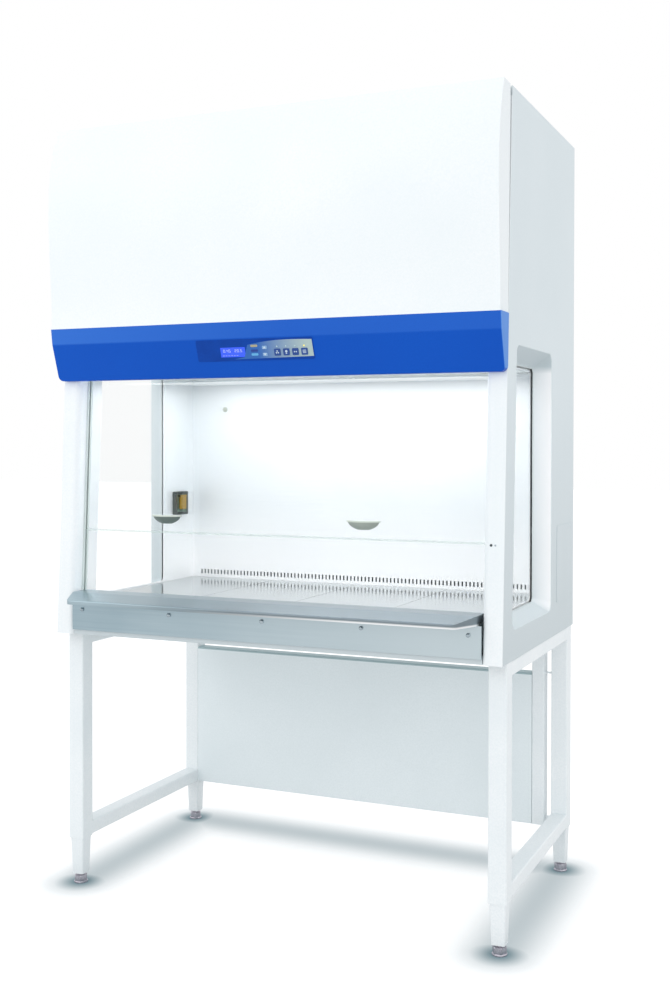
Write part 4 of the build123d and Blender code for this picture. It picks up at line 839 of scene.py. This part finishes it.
class CABINET_OT_stage(bpy.types.Operator):
    """Floor, lights, world and camera."""

    bl_idname = "cabinet.stage"
    bl_label = "Studio"

    def execute(self, context):
        studio = context.scene.cabinet_studio
        self.floor()
        self.world(context.scene)
        self.lights(studio)
        self.camera(context.scene, studio)
        context.scene.view_settings.view_transform = "Standard"
        return {"FINISHED"}

    def floor(self):
        """A wide pale floor."""
        deselect()
        bpy.ops.mesh.primitive_plane_add(size=FLOOR_SIZE, location=(0, 0, 0))
        floor = bpy.context.active_object
        floor.name = "studio_floor"
        self.floor_paint()
        floor.data.materials.append(FINISHES["lit_white_sweep"])

    def floor_paint(self):
        """A lit white sweep with painted shadows: a soft dark ring under each foot and a fainter band
        between the feet.
        """
        tree = new_material("lit_white_sweep")
        place = object_place(tree)
        feet = {}
        for corner in ("front_left", "front_right", "rear_left", "rear_right"):
            low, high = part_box(f"foot_{corner}")
            feet[corner] = Vector(((low.x + high.x) / 2, (low.y + high.y) / 2, 0))
        shade = None
        for foot in feet.values():
            gap = vector_step(tree, "DISTANCE", place, foot)
            shade = self.darker(tree, shade, gap, FOOT_SHADE_REACH, FOOT_SHADE_DEPTH)
        for start, end in (("front_left", "rear_left"), ("rear_left", "rear_right"),
                           ("rear_right", "front_right")):
            gap = self.gap_to_line(tree, place, feet[start], feet[end])
            shade = self.darker(tree, shade, gap, BAND_SHADE_REACH, BAND_SHADE_DEPTH)
        tint = blended(tree, shade, linear("#FFFFFF"), linear(SHADE_TINT))
        dim = add_node(tree, "ShaderNodeVectorMath", {0: tint, "Scale": FLOOR_DIMMING},
                       {"operation": "SCALE"})
        path = add_node(tree, "ShaderNodeLightPath")
        glow = remapped(tree, path.outputs["Is Camera Ray"], 0.0, 1.0, FLOOR_GLOW, FLOOR_GLOW_SEEN)
        shaded(tree, {"Base Color": dim.outputs["Vector"], "Roughness": 1.0, "Specular IOR Level": 0.0,
                      "Emission Color": tint, "Emission Strength": glow})

    def gap_to_line(self, tree, place, start, end):
        """Distance from a place to the line between two feet, which runs along X or Y."""
        reach = (end - start) / 2
        half = Vector((abs(reach.x), abs(reach.y), 0))
        shifted = vector_step(tree, "SUBTRACT", place, (start + end) / 2)
        past = vector_step(tree, "SUBTRACT", vector_step(tree, "ABSOLUTE", shifted), half)
        return vector_step(tree, "LENGTH", vector_step(tree, "MAXIMUM", past, (0, 0, 0)))

    def darker(self, tree, shade, gap, reach, depth):
        """Deepen the shade by a soft spot: full in its middle, gone at its reach."""
        near = remapped(tree, gap, 0.0, reach, 1.0, 0.0, interpolation_type="SMOOTHSTEP")
        spot = worked_out(tree, "MULTIPLY", worked_out(tree, "POWER", near, SHADE_PEAK), depth)
        return spot if shade is None else worked_out(tree, "MAXIMUM", shade, spot)

    def world(self, scene):
        """A pale room: white where it is seen, brighter above and in front than behind."""
        world = bpy.data.worlds.new("pale_room")
        scene.world = world
        world.use_nodes = True
        tree = world.node_tree
        tree.nodes.clear()
        facing = add_node(tree, "ShaderNodeTexCoord").outputs["Generated"]
        apart = add_node(tree, "ShaderNodeSeparateXYZ", {"Vector": facing})
        height = remapped(tree, apart.outputs["Z"], *ROOM_BY_HEIGHT)
        depth = remapped(tree, apart.outputs["Y"], *ROOM_BY_DEPTH)
        level = worked_out(tree, "ADD", height, depth)
        room = add_node(tree, "ShaderNodeBackground", {"Color": linear("#FBFDFF"), "Strength": level})
        seen = add_node(tree, "ShaderNodeBackground", {"Color": linear("#FFFFFF"), "Strength": 1.0})
        path = add_node(tree, "ShaderNodeLightPath")
        mix = add_node(tree, "ShaderNodeMixShader", {
            0: path.outputs["Is Camera Ray"], 1: room.outputs[0], 2: seen.outputs[0]})
        add_node(tree, "ShaderNodeOutputWorld", {"Surface": mix.outputs[0]})

    def lights(self, studio):
        """A wide key from the front left, and the lit work zone."""
        specs = [("key_light", KEY_LIGHT_PLACE, KEY_LIGHT_TARGET, KEY_LIGHT_SIZE, studio.key_power),
                 ("chamber_light", CHAMBER_PLACE, CHAMBER_TARGET, CHAMBER_SIZE[0], studio.chamber_power)]
        for name, place, target, size, power in specs:
            deselect()
            bpy.ops.object.light_add(type="AREA", location=place)
            lamp = bpy.context.active_object
            lamp.name = name
            lamp.data.size = size
            lamp.data.energy = power
            lamp.rotation_euler = (Vector(target) - Vector(place)).to_track_quat("-Z", "Y").to_euler()
        chamber = bpy.data.objects["chamber_light"].data
        chamber.shape = "RECTANGLE"
        chamber.size, chamber.size_y = CHAMBER_SIZE

    def camera(self, scene, studio):
        """The camera at the viewing angle, with its shift."""
        deselect()
        bpy.ops.object.camera_add(location=studio.camera_place)
        camera = bpy.context.active_object
        camera.name = "studio_camera"
        yaw, pitch, roll = studio.camera_yaw, studio.camera_pitch, studio.camera_roll
        ahead = Vector((-math.sin(yaw) * math.cos(pitch), math.cos(yaw) * math.cos(pitch), math.sin(pitch)))
        right = Vector((math.cos(yaw), math.sin(yaw), 0))
        up = right.cross(ahead)
        turned_right = right * math.cos(roll) + up * math.sin(roll)
        turned_up = up * math.cos(roll) - right * math.sin(roll)
        turn = Matrix((turned_right, turned_up, -ahead)).transposed().to_4x4()
        camera.matrix_world = Matrix.Translation(studio.camera_place) @ turn
        camera.data.sensor_fit = "VERTICAL"
        camera.data.sensor_height = FRAME_HEIGHT
        camera.data.lens = studio.lens
        camera.data.shift_x, camera.data.shift_y = CAMERA_SHIFT
        camera.data.clip_end = CAMERA_CLIP
        scene.camera = camera


class CABINET_PT_panel(bpy.types.Panel):
    """Lists the cabinet's operators and settings."""

    bl_idname = "CABINET_PT_panel"
    bl_label = "Biosafety Cabinet"
    bl_space_type = "VIEW_3D"
    bl_region_type = "UI"
    bl_category = "Cabinet"

    def draw(self, context):
        for operator in OPERATORS:
            self.layout.operator(operator.bl_idname)
        for group in (context.scene.cabinet_look, context.scene.cabinet_studio):
            for name in group.__annotations__:
                self.layout.prop(group, name)


OPERATORS = [CABINET_OT_stage, CABINET_OT_finishes, CABINET_OT_control_print, CABINET_OT_key_marks,
             CABINET_OT_window_seals, CABINET_OT_sash_fittings, CABINET_OT_small_fittings,
             CABINET_OT_panel_screws]
CLASSES = [CabinetLook, StudioSizes, *OPERATORS, CABINET_PT_panel]


def register():
    """Register every class and its settings."""
    for item in CLASSES:
        bpy.utils.register_class(item)
    bpy.types.Scene.cabinet_look = bpy.props.PointerProperty(type=CabinetLook)
    bpy.types.Scene.cabinet_studio = bpy.props.PointerProperty(type=StudioSizes)


def unregister():
    """Remove the settings and every class."""
    del bpy.types.Scene.cabinet_look
    del bpy.types.Scene.cabinet_studio
    for item in reversed(CLASSES):
        bpy.utils.unregister_class(item)


def main():
    """Build the whole scene by calling each operator."""
    register()
    bpy.ops.cabinet.stage()
    bpy.ops.cabinet.finishes()
    bpy.ops.cabinet.control_print()
    bpy.ops.cabinet.key_marks()
    bpy.ops.cabinet.window_seals()
    bpy.ops.cabinet.sash_fittings()
    bpy.ops.cabinet.small_fittings()
    bpy.ops.cabinet.panel_screws()


if __name__ == "__main__":
    main()
